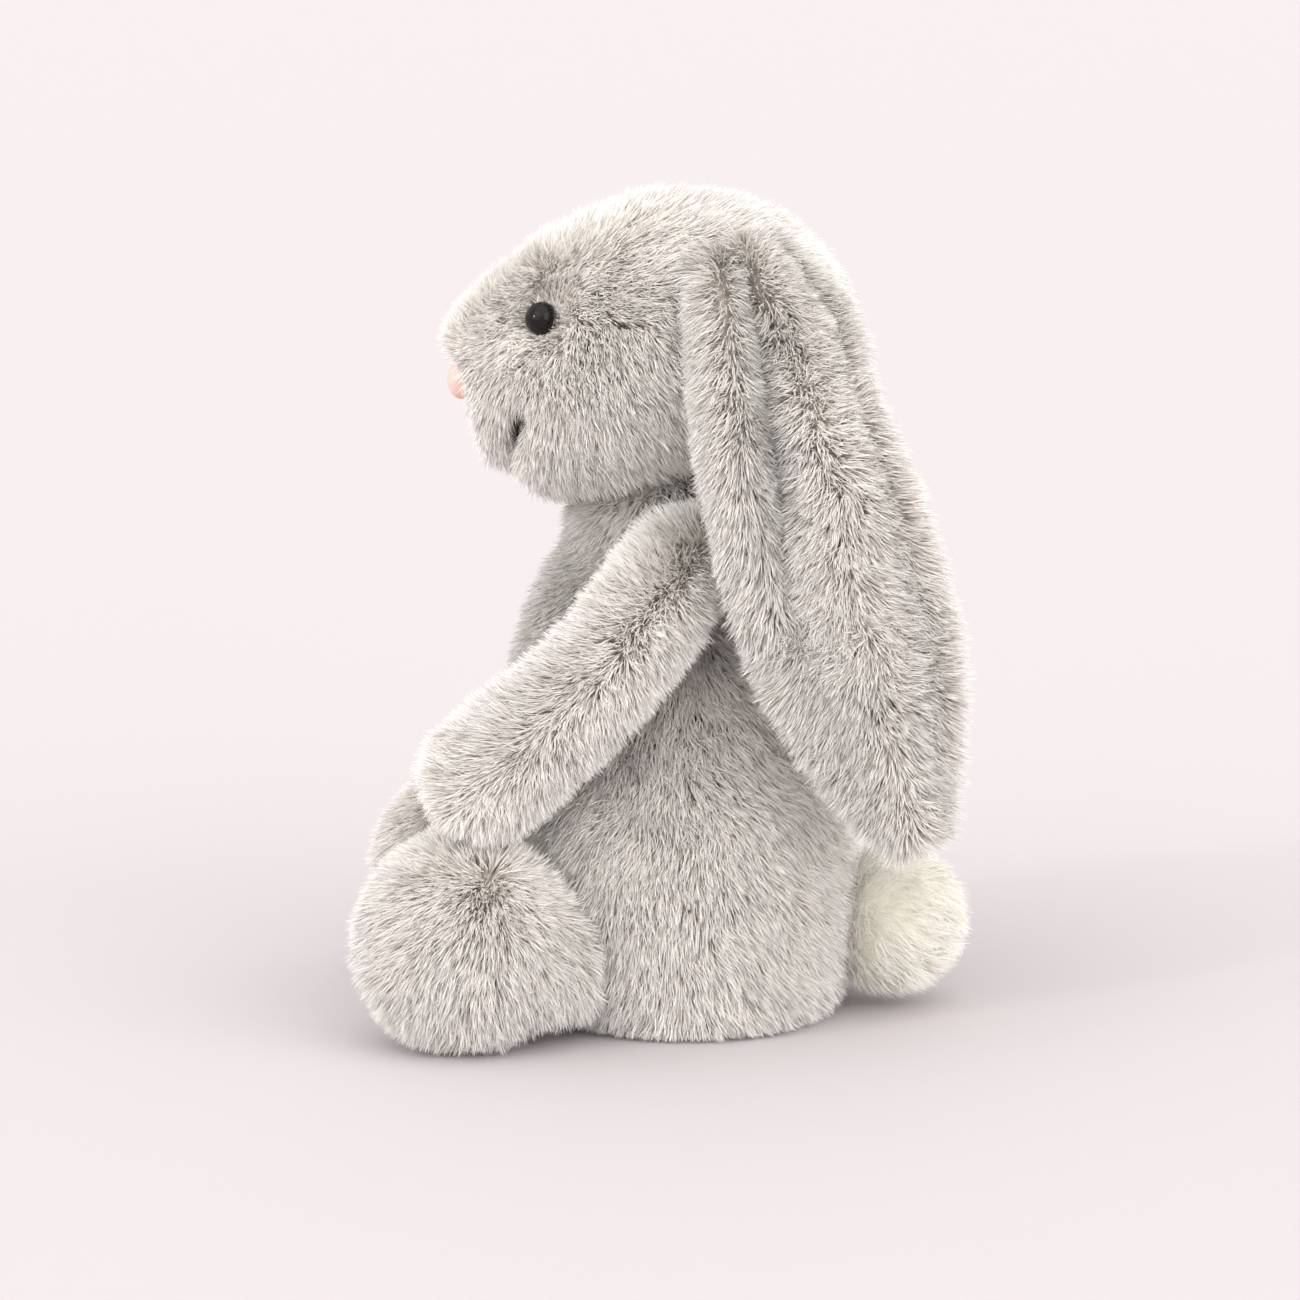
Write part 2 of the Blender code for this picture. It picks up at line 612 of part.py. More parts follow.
def ear_grid(side, skin):
    """Mid surface of the ear: rows from the root seam to the tip, columns from front to back edge."""
    lean = math.radians(EAR_LEAN_DEG)
    along = Vector((0, math.sin(lean), -math.cos(lean)))
    across = Vector((0, math.cos(lean), math.sin(lean)))
    root = Vector((0, NECK_BACK + EAR_ROOT_BACK, HEAD_TOP - EAR_ROOT_DROP))
    hang = SHOULDER_X + ARM_SPREAD * ARM_SLOPE_SHARE + ARM_RADIUS + EAR_WALL + EAR_ARM_GAP
    rows = (  # share of the length, half width / width, hang share, folded lobe share
        (0.00, 0.20, 0.0, 0.2), (0.12, 0.32, 0.35, 1.0), (0.26, 0.42, 0.8, 1.0), (0.42, 0.48, 1.0, 0.6),
        (0.56, 0.50, 1.0, 0.3), (0.70, 0.465, 0.97, 0.2), (0.82, 0.37, 0.94, 0.1), (0.92, 0.24, 0.92, 0.0),
        (0.985, 0.09, 0.92, 0.0))
    grid = []
    for share, half, drop, lobe in rows:
        line = []
        for s in np.linspace(-1, 1, 7):
            point = root + along * EAR_LENGTH * share + across * half * EAR_WIDTH * s
            hit = skin.ray_cast(point + Vector((side * HEAD_WIDTH, 0, 0)), Vector((-side, 0, 0)))[0]
            head_x = abs(hit.x) if hit is not None else 0.0
            x = max(hang * drop, head_x) + EAR_LOBE * lobe * max(0.0, -s) ** 2
            line.append(Vector((side * x, point.y, point.z)))
        grid.append(line)
    return grid, root


def soften(grid, rounds=2):
    """Average the sideways places of neighbours along the ear, in place and never inward."""
    for _ in range(rounds):
        for column in range(len(grid[0])):
            xs = [row[column].x for row in grid]
            for i in range(1, len(grid) - 1):
                mean = (xs[i - 1] + xs[i + 1]) / 2
                if abs(mean) > abs(xs[i]):
                    grid[i][column].x = mean


def make_ear(label, side, skin, plush):
    grid, root = ear_grid(side, skin)
    soften(grid)
    for name, direction in (("_ear_inner_panel", -1), ("_ear_outer_panel", 1)):
        bm = bmesh.new()
        verts = [[bm.verts.new(point) for point in line] for line in grid]
        for low, high in zip(verts, verts[1:]):
            for a, b, c, d in zip(low, low[1:], high[1:], high):
                bm.faces.new((a, b, c, d))
        for face in bm.faces:
            face.normal_update()
            if face.normal.x * side * direction < 0:
                face.normal_flip()
        mesh = bpy.data.meshes.new(label + name)
        bm.to_mesh(mesh)
        bm.free()
        obj = bpy.data.objects.new(label + name, mesh)
        mesh.materials.append(plush)
        bpy.context.collection.objects.link(obj)
        displaced(obj, FIT_GAP / 2)
        wall = obj.modifiers.new("wall", "SOLIDIFY")
        wall.thickness = EAR_WALL
        wall.offset = 1.0
        apply_modifiers(obj)
        obj.data.shade_smooth()
        obj.data.set_sharp_from_angle(angle=math.radians(40))
        top_x = min(abs(point.x) for point in grid[0]) - EAR_WALL - EAR_HEAD_GAP
        top_z = max(point.z for point in grid[0]) + EAR_WALL
        set_origin(obj, Vector((side * top_x, root.y, top_z)))


# --- tail ---------------------------------------------------------------------------------

def make_tail(body_skin, cream, fibre):
    start = Vector((0, 2 * BODY_DEPTH, TAIL_HEIGHT))
    hit = body_skin.ray_cast(start, Vector((0, -1, 0)))[0]
    pivot = hit + Vector((0, FIT_GAP, 0))
    centre = pivot + Vector((0, TAIL_RADIUS + TAIL_STAND, 0))
    side, up = Vector((1, 0, 0)), Vector((0, 0, 1))
    rings = []
    for angle in np.linspace(TAIL_OPENING_DEG, 168.0, 13):
        turn = math.radians(angle)
        rings.append((centre - Vector((0, TAIL_RADIUS * math.cos(turn), 0)), side, up,
                      TAIL_RADIUS * math.sin(turn), TAIL_RADIUS * math.sin(turn)))
    end = centre + Vector((0, TAIL_RADIUS, 0))
    cover = finish(loft(rings, end_pole=end, open_start=True), "tail_cover", cream)
    thicken(cover, PLUSH_WALL)
    filling = make_filling("tail_filling", rings, fibre, end_pole=end, open_start=True)
    for piece in (cover, filling):
        set_origin(piece, pivot)


def main():
    for obj in list(bpy.data.objects):
        bpy.data.objects.remove(obj, do_unlink=True)
    plush = material("silver_plush", GREY, 0.95)
    ear_plush = material("ear_plush", PALE_GREY, 0.95)
    cream = material("cream_plush", CREAM, 0.95)
    fibre = material("fibre_filling", FIBRE, 1.0)
    cloth = material("bag_cloth", CLOTH, 0.9)
    pellet = material("seat_pellets", PELLET, 0.6)
    black = material("eye_plastic", BLACK, 0.06)
    washer_mat = material("washer_plastic", CLOTH, 0.5)
    pink = material("nose_velour", PINK, 0.9)
    thread = material("dark_thread", CHARCOAL, 0.7)
    neck_thread = material("neck_thread", GREY, 0.8)

    rings = body_rings()
    body_skin = surface_of(guide(finish(loft(rings), "body_shape", plush)))
    body_space = guide(displaced(finish(loft(rings), "body_space", plush), FIT_GAP))
    filling_space = guide(displaced(finish(loft(rings), "filling_space", plush), 2 * FIT_GAP))

    body, body_filling = make_body(plush, fibre, cloth, pellet, neck_thread)
    make_shoulder_seats(body, body_filling, plush)
    beside_head = make_head(plush, fibre, black, washer_mat, pink, thread)
    for side, label in ((1, "left"), (-1, "right")):
        make_arm(label, side, plush, fibre)
        make_leg(label, side, body_space, filling_space, plush, fibre)
        make_ear(label, side, beside_head, ear_plush)
    make_tail(body_skin, cream, fibre)


main()
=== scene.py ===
"""Seated plush bunny with long soft pile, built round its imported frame."""

import math

import bmesh
import bpy
import numpy as np
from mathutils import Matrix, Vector
from mathutils.bvhtree import BVHTree


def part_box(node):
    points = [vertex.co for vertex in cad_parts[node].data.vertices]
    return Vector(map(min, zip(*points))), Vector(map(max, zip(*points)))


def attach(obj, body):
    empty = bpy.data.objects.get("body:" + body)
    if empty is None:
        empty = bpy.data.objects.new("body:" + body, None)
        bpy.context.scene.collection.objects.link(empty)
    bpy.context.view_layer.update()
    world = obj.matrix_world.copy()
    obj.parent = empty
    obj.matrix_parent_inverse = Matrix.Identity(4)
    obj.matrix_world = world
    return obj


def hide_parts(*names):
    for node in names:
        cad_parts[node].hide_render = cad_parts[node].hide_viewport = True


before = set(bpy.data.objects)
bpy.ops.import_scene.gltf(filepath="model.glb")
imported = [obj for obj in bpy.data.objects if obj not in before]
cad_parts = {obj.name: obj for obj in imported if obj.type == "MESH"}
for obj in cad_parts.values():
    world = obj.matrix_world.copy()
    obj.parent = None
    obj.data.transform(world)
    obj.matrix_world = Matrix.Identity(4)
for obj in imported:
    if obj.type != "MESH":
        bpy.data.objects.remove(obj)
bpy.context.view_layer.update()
MM = 0.001

# --- Camera, floor and light ---------------------------------------------------------------
# The bunny sits side-on to a long lens a little above it, on a plain pale floor under a
# broad soft light from above and in front.
LENS_MM = 131.6
SENSOR_MM = 36.0
CAMERA_DISTANCE = 1.15
CAMERA_RISE = math.radians(9.5)
LOOK_AT = Vector((0.0, -0.0121, 0.0876))
FLOOR_REACH = 60.0
FLOOR_COLOUR = (0.584, 0.542, 0.552, 1.0)
AIR_COLOUR = (1.0, 0.975, 0.965, 1.0)
AIR_STRENGTH = 1.05
BACKDROP = (0.956, 0.880, 0.888, 1.0)
LIGHTS = (  # name, the way it comes from, strength, spread in degrees
    ("overhead_light", (0.55, -0.10, 1.0), 1.05, 75.0),
    ("front_light", (1.0, -1.0, 0.50), 0.65, 60.0),
    ("back_light", (1.0, 1.0, 0.40), 1.3, 60.0),
    ("glint", (0.52, -0.80, 0.33), 0.5, 6.0))

camera = bpy.data.objects.new("camera", bpy.data.cameras.new("camera"))
camera.data.lens = LENS_MM
camera.data.sensor_width = SENSOR_MM
towards_camera = Vector((math.cos(CAMERA_RISE), 0, math.sin(CAMERA_RISE)))
camera.location = LOOK_AT + towards_camera * CAMERA_DISTANCE
camera.rotation_mode = "QUATERNION"
camera.rotation_quaternion = towards_camera.to_track_quat("Z", "Y")
bpy.context.collection.objects.link(camera)
bpy.context.scene.camera = camera
bpy.context.scene.view_settings.view_transform = "Standard"


def plain_material(name, colour, roughness):
    material = bpy.data.materials.new(name)
    material.use_nodes = True
    shader = material.node_tree.nodes["Principled BSDF"]
    shader.inputs["Base Color"].default_value = colour
    shader.inputs["Roughness"].default_value = roughness
    return material


floor_mesh = bpy.data.meshes.new("studio_floor")
floor_corners = [(-FLOOR_REACH, -FLOOR_REACH, 0), (FLOOR_REACH, -FLOOR_REACH, 0),
                 (FLOOR_REACH, FLOOR_REACH, 0), (-FLOOR_REACH, FLOOR_REACH, 0)]
floor_mesh.from_pydata(floor_corners, [], [(0, 1, 2, 3)])
floor_mesh.materials.append(plain_material("floor_paper", FLOOR_COLOUR, 0.9))
studio_floor = bpy.data.objects.new("studio_floor", floor_mesh)
bpy.context.collection.objects.link(studio_floor)

world = bpy.data.worlds.new("studio_air")
world.use_nodes = True
bpy.context.scene.world = world
nodes, links = world.node_tree.nodes, world.node_tree.links
air = nodes["Background"]
air.inputs["Color"].default_value = AIR_COLOUR
air.inputs["Strength"].default_value = AIR_STRENGTH
seen = nodes.new("ShaderNodeBackground")
seen.inputs["Color"].default_value = BACKDROP
either = nodes.new("ShaderNodeMixShader")
light_path = nodes.new("ShaderNodeLightPath")
links.new(light_path.outputs["Is Camera Ray"], either.inputs[0])
links.new(air.outputs[0], either.inputs[1])
links.new(seen.outputs[0], either.inputs[2])
links.new(either.outputs[0], nodes["World Output"].inputs["Surface"])

for name, source, strength, spread in LIGHTS:
    lamp = bpy.data.objects.new(name, bpy.data.lights.new(name, "SUN"))
    lamp.data.energy = strength
    lamp.data.angle = math.radians(spread)
    lamp.rotation_mode = "QUATERNION"
    lamp.rotation_quaternion = Vector(source).to_track_quat("Z", "Y")
    bpy.context.collection.objects.link(lamp)

# --- Body ----------------------------------------------------------------------------------
# A pear of grey plush over fibre filling, with a flat seat and a round neck. The cover is
# sewn from knitted backing, and its long pile is combed down and out from under the arms.
SKIN_INSET = 3.6 * MM       # knitted backing, under the dense foot of the pile
PILE_LENGTH = 8.2 * MM
PILE_LIE = math.radians(50)  # how far a strand still rises where it leans over most
STRAND_WIDTH = 0.34 * MM
DENSITY = 9.0 / MM**2
LOCK = 1.2 * MM             # strands cling together in locks this wide
TUFT = 5.0 * MM             # and the locks lean together in tufts this wide
LOWEST = 0.3 * MM           # no strand goes lower than this over the floor
LOCK_STRAY = 1.2            # how far a lock, a tuft, a wide sway and a single strand turn
TUFT_STRAY = 1.9            # away from the flow
SWAY_STRAY = 0.7
OWN_STRAY = 0.55
LOCK_SHADE = 0.09           # and how far each makes a strand lighter or darker
TUFT_SHADE = 0.08
SWAY_SHADE = 0.045
OWN_SHADE = 0.05
FULL_LEAN = 0.95            # the length of a flow that lays the strands well over


def through(rows, steps):
    """Cubic curve through the rows: each span's end slopes are half the step between the
    rows on both sides of its end."""
    rows = np.asarray(rows, dtype=float)
    longer = np.vstack([2 * rows[:1] - rows[1:2], rows, 2 * rows[-1:] - rows[-2:-1]])
    slope = (longer[2:] - longer[:-2]) / 2
    t = np.linspace(0, 1, steps, endpoint=False)[None, :, None]
    start, end = rows[:-1, None], rows[1:, None]
    curve = ((2 * t**3 - 3 * t**2 + 1) * start + (t**3 - 2 * t**2 + t) * slope[:-1, None]
             + (3 * t**2 - 2 * t**3) * end + (t**3 - t**2) * slope[1:, None])
    return np.vstack([curve.reshape(-1, rows.shape[1]), rows[-1:]])


def ovals(centre, side, up, wide, high, around):
    """Rings: centre + side x wide x cos(turn) + up x high x sin(turn), a row for each centre."""
    turn = 2 * math.pi * np.arange(around) / around
    wide, high = np.asarray(wide)[:, None, None], np.asarray(high)[:, None, None]
    centre = np.asarray(centre)[:, None]
    side = np.broadcast_to(side, centre[:, 0].shape)[:, None]
    up = np.broadcast_to(up, centre[:, 0].shape)[:, None]
    return centre + side * wide * np.cos(turn)[:, None] + up * high * np.sin(turn)[:, None]


def sewn_shell(name, grid, start, end, material):
    """Closed mesh: the rings of the grid joined by quads, and a fan to a pole at each end."""
    rows, around, _ = grid.shape
    verts = np.vstack([grid.reshape(-1, 3), [start], [end]])
    row = np.arange(rows - 1)[:, None] * around
    here = np.arange(around)
    there = (here + 1) % around
    quads = np.stack([row + here, row + there, row + around + there, row + around + here],
                     axis=-1).reshape(-1, 4)
    last = (rows - 1) * around
    pole = rows * around
    fans = np.vstack([np.stack([there, here, np.full(around, pole)], axis=-1),
                      np.stack([last + here, last + there, np.full(around, pole + 1)], axis=-1)])
    mesh = bpy.data.meshes.new(name)
    mesh.from_pydata(verts.tolist(), [], quads.tolist() + fans.tolist())
    shape = bmesh.new()
    shape.from_mesh(mesh)
    bmesh.ops.recalc_face_normals(shape, faces=shape.faces[:])
    shape.to_mesh(mesh)
    shape.free()
    mesh.shade_smooth()
    mesh.materials.append(material)
    piece = bpy.data.objects.new(name, mesh)
    bpy.context.collection.objects.link(piece)
    return piece


def unit(v):
    return v / np.maximum(np.linalg.norm(v, axis=-1, keepdims=True), 1e-12)


def dot(a, b):
    return np.sum(a * b, axis=-1)


def ramp(value, low, high):
    """0 below low, 1 above high, and a smooth step between them."""
    t = np.clip((value - low) / (high - low), 0, 1)
    return t * t * (3 - 2 * t)


def scattered(cells, seed):
    """Three random numbers from 0 to 1 for each whole-numbered cell: the fraction of a large
    sine of a weighted sum of its three numbers."""
    mixed = cells @ np.array([127.1, 311.7, 74.7]) + seed * 17.13
    return np.stack([np.mod(np.sin(mixed * k) * 43758.5453, 1.0) for k in (1.0, 1.37, 2.11)],
                    axis=-1)


def nearest_lock(points, size, seed):
    """The nearest of the centres scattered one to a cell of that size: its place and its own
    three random numbers, out of the 27 cells round the point."""
    cell = np.floor(points / size)
    best = np.full(len(points), 1e9)
    place, luck = np.zeros_like(points), np.zeros_like(points)
    for step in np.ndindex(3, 3, 3):
        near = cell + np.array(step) - 1
        centre = (near + scattered(near, seed)) * size
        gap = dot(points - centre, points - centre)
        closer = gap < best
        best = np.where(closer, gap, best)
        place[closer] = centre[closer]
        luck[closer] = scattered(near[closer], seed + 5)
    return place, luck


def waves(points, size, seed):
    """Smooth random field from -1 to 1, three numbers to a point: sums of four sines in
    random directions with a wavelength near that size."""
    rng = np.random.default_rng(seed)
    total = np.zeros_like(points)
    for _ in range(4):
        ways = rng.normal(size=(3, 3)) * 2.4 / size
        total += np.sin(points @ ways + rng.uniform(0, 6.28, 3))
    return total / 2.4


def skin_roots(piece, density, seed):
    """Random places on the piece's faces, as many to an area everywhere, with the smooth
    outward direction at each."""
    mesh = piece.data
    mesh.calc_loop_triangles()
    co = np.empty(len(mesh.vertices) * 3)
    mesh.vertices.foreach_get("co", co)
    normal = np.empty(len(mesh.vertices) * 3)
    mesh.vertex_normals.foreach_get("vector", normal)
    corner = np.empty(len(mesh.loop_triangles) * 3, dtype=np.int32)
    mesh.loop_triangles.foreach_get("vertices", corner)
    co, normal, corner = co.reshape(-1, 3), normal.reshape(-1, 3), corner.reshape(-1, 3)
    a, b, c = co[corner[:, 0]], co[corner[:, 1]], co[corner[:, 2]]
    area = np.linalg.norm(np.cross(b - a, c - a), axis=1) / 2
    rng = np.random.default_rng(seed)
    count = int(area.sum() * density)
    pick = rng.choice(len(area), size=count, p=area / area.sum())
    r1, r2 = np.sqrt(rng.random(count)), rng.random(count)
    weight = np.stack([1 - r1, r1 * (1 - r2), r1 * r2], axis=-1)[..., None]
    outward = unit((normal[corner[pick]] * weight).sum(axis=1))
    return (co[corner[pick]] * weight).sum(axis=1), outward


def pile(name, roots, outward, flow, material, seed, length=PILE_LENGTH, lie=PILE_LIE,
         cling=0.55, wild=0.30, width=STRAND_WIDTH, tone=0.0):
    """Pile as thin kites, pointed at the root and the tip and widest at the knee: each rises
    from its root, leans over along the flow, and is drawn to the middle of its lock.

    flow is a direction for each root. Where it is shorter than 1 the strand leans over less,
    down to upright at 0. length, lie and tone are one number or one for each root; a higher
    tone is a lighter strand, and the callers paint light and shade into the pile through it.
    cling is the share of the way to the middle of the lock, and wild is how much the strands
    stray from the flow.
    """
    rng = np.random.default_rng(seed)
    count = len(roots)
    lean = np.clip(np.linalg.norm(flow, axis=1), 0, 1)
    lift = math.pi / 2 - lean * (math.pi / 2 - lie)
    length = np.broadcast_to(length, count) * (0.72 + 0.28 * lean)
    middle, luck = nearest_lock(roots, LOCK, seed)
    _, tuft = nearest_lock(roots + 0.4 * LOCK * waves(roots, 6 * MM, seed + 1), TUFT, seed + 2)
    sway = waves(roots, 16 * MM, seed + 3)
    ahead = unit(flow - outward * dot(flow, outward)[:, None])
    stray = (LOCK_STRAY * (luck - 0.5) + TUFT_STRAY * (tuft - 0.5) + SWAY_STRAY * sway
             + OWN_STRAY * rng.normal(size=roots.shape))
    ahead = ahead + stray * (wild * (1 + 2.5 * (1 - lean)))[:, None]
    ahead = unit(ahead - outward * dot(ahead, outward)[:, None])
    lift += 0.34 * (luck[:, 0] - 0.5) + 0.34 * (tuft[:, 1] - 0.5) + 0.18 * rng.normal(size=count)
    length *= 0.84 + 0.22 * luck[:, 1] + 0.12 * rng.random(count)
    pull = middle - roots
    pull -= outward * dot(pull, outward)[:, None]
    rise, run = np.sin(lift)[:, None], np.cos(lift)[:, None]
    long = length[:, None]
    knee = roots + long * 0.5 * (outward * rise * 1.25 + ahead * run * 0.72) + 0.5 * cling * pull
    tip = roots + long * (outward * rise + ahead * run) + cling * pull
    spin = rng.uniform(0, math.pi, count)[:, None]
    across = unit(np.cross(tip - roots, outward))
    across = across * np.cos(spin) + unit(np.cross(tip - roots, across)) * np.sin(spin)
    half = across * (width / 2) * (0.8 + 0.4 * rng.random(count))[:, None]
    verts = np.stack([roots, knee - half, knee + half, tip], axis=1)
    verts[..., 2] = np.maximum(verts[..., 2], LOWEST + 0.2 * MM * rng.random(count)[:, None])

    mesh = bpy.data.meshes.new(name)
    mesh.vertices.add(count * 4)
    mesh.vertices.foreach_set("co", verts.ravel())
    mesh.loops.add(count * 6)
    mesh.polygons.add(count * 2)
    first = np.arange(count, dtype=np.int32)[:, None]
    mesh.polygons.foreach_set("loop_start", (first * 6 + np.array([0, 3], dtype=np.int32)).ravel())
    corners = first * 4 + np.array([0, 2, 1, 1, 2, 3], dtype=np.int32)
    mesh.loops.foreach_set("vertex_index", corners.ravel())
    mesh.update(calc_edges=True)
    mesh.shade_smooth()
    shade = (0.5 + tone + LOCK_SHADE * (luck[:, 2] - 0.5) + TUFT_SHADE * (tuft[:, 2] - 0.5)
             + SWAY_SHADE * waves(roots, 30 * MM, seed + 4)[:, 0] + OWN_SHADE * rng.normal(size=count))
    shade = np.clip(shade, 0.02, 0.98)[:, None]
    u = shade + np.array([0.0, 0.01, -0.01, -0.01, 0.01, 0.0])
    v = np.broadcast_to([0.0, 0.5, 0.5, 0.5, 0.5, 1.0], u.shape)
    layer = mesh.uv_layers.new(name="OFBake")
    layer.uv.foreach_set("vector", np.stack([u, v], axis=-1).ravel().astype(np.float32))
    mesh.materials.append(material)
    piece = bpy.data.objects.new(name, mesh)
    bpy.context.collection.objects.link(piece)
    return piece


def pile_colour_group():
    """Strand colour: from Foot through Shaft to Tip along the strand, then darkened or
    lightened by the strand's own shade."""
    group = bpy.data.node_groups.new("pile_colour", "ShaderNodeTree")
    for socket in ("Foot", "Shaft", "Tip"):
        group.interface.new_socket(socket, in_out="INPUT", socket_type="NodeSocketColor")
    group.interface.new_socket("Contrast", in_out="INPUT", socket_type="NodeSocketFloat")
    group.interface.new_socket("Color", in_out="OUTPUT", socket_type="NodeSocketColor")
    make, link = group.nodes.new, group.links.new
    given, out = make("NodeGroupInput"), make("NodeGroupOutput")
    place = make("ShaderNodeUVMap")
    place.uv_map = "OFBake"
    split = make("ShaderNodeSeparateXYZ")
    link(place.outputs["UV"], split.inputs[0])

    def mixed(factor, a, b, blend="MIX"):
        node = make("ShaderNodeMix")
        node.data_type = "RGBA"
        node.blend_type = blend
        for socket, value in zip((0, 6, 7), (factor, a, b)):
            if isinstance(value, (float, tuple)):
                node.inputs[socket].default_value = value
            else:
                link(value, node.inputs[socket])
        return node.outputs[2]

    def stepped(value, low, high):
        node = make("ShaderNodeMapRange")
        node.interpolation_type = "SMOOTHSTEP"
        node.inputs[1].default_value = low
        node.inputs[2].default_value = high
        link(value, node.inputs[0])
        return node.outputs[0]

    lower = mixed(stepped(split.outputs[1], 0.0, 0.55), given.outputs[0], given.outputs[1])
    along = mixed(stepped(split.outputs[1], 0.45, 1.0), lower, given.outputs[2])
    spread = make("ShaderNodeMapRange")
    link(split.outputs[0], spread.inputs[0])
    spread.inputs[3].default_value = -1.0
    grow = make("ShaderNodeMath")
    grow.operation = "MULTIPLY_ADD"
    link(spread.outputs[0], grow.inputs[0])
    link(given.outputs["Contrast"], grow.inputs[1])
    grow.inputs[2].default_value = 1.0
    scale = make("ShaderNodeVectorMath")
    scale.operation = "SCALE"
    link(along, scale.inputs[0])
    link(grow.outputs[0], scale.inputs["Scale"])
    link(scale.outputs[0], out.inputs["Color"])
    return group


def pile_material(name, foot, shaft, tip, contrast):
    material = plain_material(name, shaft, 0.78)
    nodes, links = material.node_tree.nodes, material.node_tree.links
    shader = nodes["Principled BSDF"]
    colour = nodes.new("ShaderNodeGroup")
    colour.node_tree = PILE_COLOUR
    for socket, value in (("Foot", foot), ("Shaft", shaft), ("Tip", tip)):
        colour.inputs[socket].default_value = value
    colour.inputs["Contrast"].default_value = contrast
    links.new(colour.outputs["Color"], shader.inputs["Base Color"])
    shader.inputs["Specular IOR Level"].default_value = 0.25
    shader.inputs["Sheen Weight"].default_value = 0.12
    return material


def backing_material(name, dark, light):
    """Knitted backing between the strands: two close greys mottled by fine noise."""
    material = plain_material(name, dark, 0.95)
    nodes, links = material.node_tree.nodes, material.node_tree.links
    place = nodes.new("ShaderNodeTexCoord")
    noise = nodes.new("ShaderNodeTexNoise")
    noise.inputs["Scale"].default_value = 420.0
    links.new(place.outputs["Object"], noise.inputs["Vector"])
    blend = nodes.new("ShaderNodeMix")
    blend.data_type = "RGBA"
    blend.inputs[6].default_value = dark
    blend.inputs[7].default_value = light
    links.new(noise.outputs[0], blend.inputs[0])
    links.new(blend.outputs[2], nodes["Principled BSDF"].inputs["Base Color"])
    return material


PILE_COLOUR = pile_colour_group()
GREY_PILE = pile_material("silver_pile", (0.585, 0.520, 0.465, 1), (0.765, 0.725, 0.68, 1),
                          (0.885, 0.865, 0.84, 1), 0.34)
GREY_BACKING = backing_material("silver_backing", (0.44, 0.385, 0.34, 1), (0.54, 0.48, 0.43, 1))

body_low, body_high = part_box("body_cover")
body_size = body_high - body_low
DOME_SHARE = 1.2112         # height with the round neck / height of the shoulders
NECK_HEIGHT = body_high.z / DOME_SHARE
NECK_RADIUS = 26.0 * MM
NECK_Y = -5.0 * MM
UNDERSIDE = -0.85           # faces that look down more than this are the bare seat
BODY_SHARES = (  # height / neck height, middle / depth, half depth / depth, half width / width
    (0.000, -0.010, 0.320, 0.385), (0.027, -0.030, 0.385, 0.440), (0.107, -0.062, 0.450, 0.478),
    (0.268, -0.092, 0.498, 0.500), (0.446, -0.106, 0.500, 0.484), (0.589, -0.100, 0.467, 0.443),
    (0.714, -0.090, 0.420, 0.395))
body_rows = [(h * NECK_HEIGHT, m * body_size.y, d * body_size.y, w * body_size.x)
             for h, m, d, w in BODY_SHARES]
body_rows.append((0.90 * NECK_HEIGHT, NECK_Y - 0.1 * NECK_RADIUS, 1.17 * NECK_RADIUS,
                  1.06 * NECK_RADIUS))
for angle in np.radians((0, 22, 44, 62, 78)):
    body_rows.append((NECK_HEIGHT + NECK_RADIUS * math.sin(angle), NECK_Y,
                      NECK_RADIUS * math.cos(angle), NECK_RADIUS * math.cos(angle)))
table = through(body_rows, 5)
table[:, 2:] -= SKIN_INSET
table[:, 0] = np.maximum(table[:, 0], SKIN_INSET)
centres = np.stack([0 * table[:, 0], table[:, 1], table[:, 0]], axis=-1)
grid = ovals(centres, (1, 0, 0), (0, 1, 0), table[:, 3], table[:, 2], 72)
body_skin = sewn_shell("body_plush", grid, centres[0], centres[-1] + (0, 0, 1 * MM),
                       GREY_BACKING)
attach(body_skin, "body")
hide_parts("body_cover", "body_filling")

roots, outward = skin_roots(body_skin, DENSITY, 11)
clothed = ~(outward[:, 2] < UNDERSIDE)
roots, outward = roots[clothed], outward[clothed]
backward = (roots[:, 1] + 8 * MM) / (52 * MM)
flow = np.stack([0.25 * outward[:, 0], backward, np.full(len(roots), -1.0)], axis=-1)
flow = unit(flow) * FULL_LEAN
# Painted shade: the upper chest, where the head shades it, is made darker through the strands' tone.
chest_painted_shade = ramp(roots[:, 2], 50 * MM, 80 * MM) * ramp(-roots[:, 1], 5 * MM, 28 * MM)
tone = 0.08 - 0.26 * chest_painted_shade
low_half = roots[:, 2] < 0.40 * NECK_HEIGHT
on_left = roots[:, 0] > 0
for name, part in (("body_pile_upper_left", ~low_half & on_left),
                   ("body_pile_left", low_half & on_left),
                   ("body_pile_upper_right", ~low_half & ~on_left),
                   ("body_pile_right", low_half & ~on_left)):
    hair = pile(name, roots[part], outward[part], flow[part], GREY_PILE, 12, tone=tone[part])
    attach(hair, "body")

# --- Head ----------------------------------------------------------------------------------
# A stuffed egg of plush, gathered on to the neck. Its pile parts along the seam between the
# crown and the cheeks, and is trimmed short round the eyes, the nose and the mouth.
head_low, head_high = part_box("head_cover")
HEAD_HEIGHT = 70 * MM       # the measure that the sections below are shares of
HEAD_MIDDLE_Z = head_high.z - 34.5 * MM
head_size = Vector((head_high.x - head_low.x, head_high.y - head_low.y, HEAD_HEIGHT))
HEAD_SHARES = (  # distance / length, rise / height, half height / height, half width / width
    (0.012, -0.030, 0.105, 0.120), (0.038, -0.055, 0.190, 0.195), (0.102, -0.078, 0.285, 0.280),
    (0.177, -0.085, 0.362, 0.350), (0.285, -0.055, 0.432, 0.425), (0.46, -0.005, 0.490, 0.490),
    (0.60, 0.030, 0.470, 0.500), (0.73, 0.045, 0.435, 0.470), (0.85, 0.055, 0.360, 0.385),
    (0.935, 0.060, 0.250, 0.270), (0.98, 0.065, 0.140, 0.150))
table = through([(head_low.y + d * head_size.y, HEAD_MIDDLE_Z + r * head_size.z, h * head_size.z,
                  w * head_size.x) for d, r, h, w in HEAD_SHARES], 6)
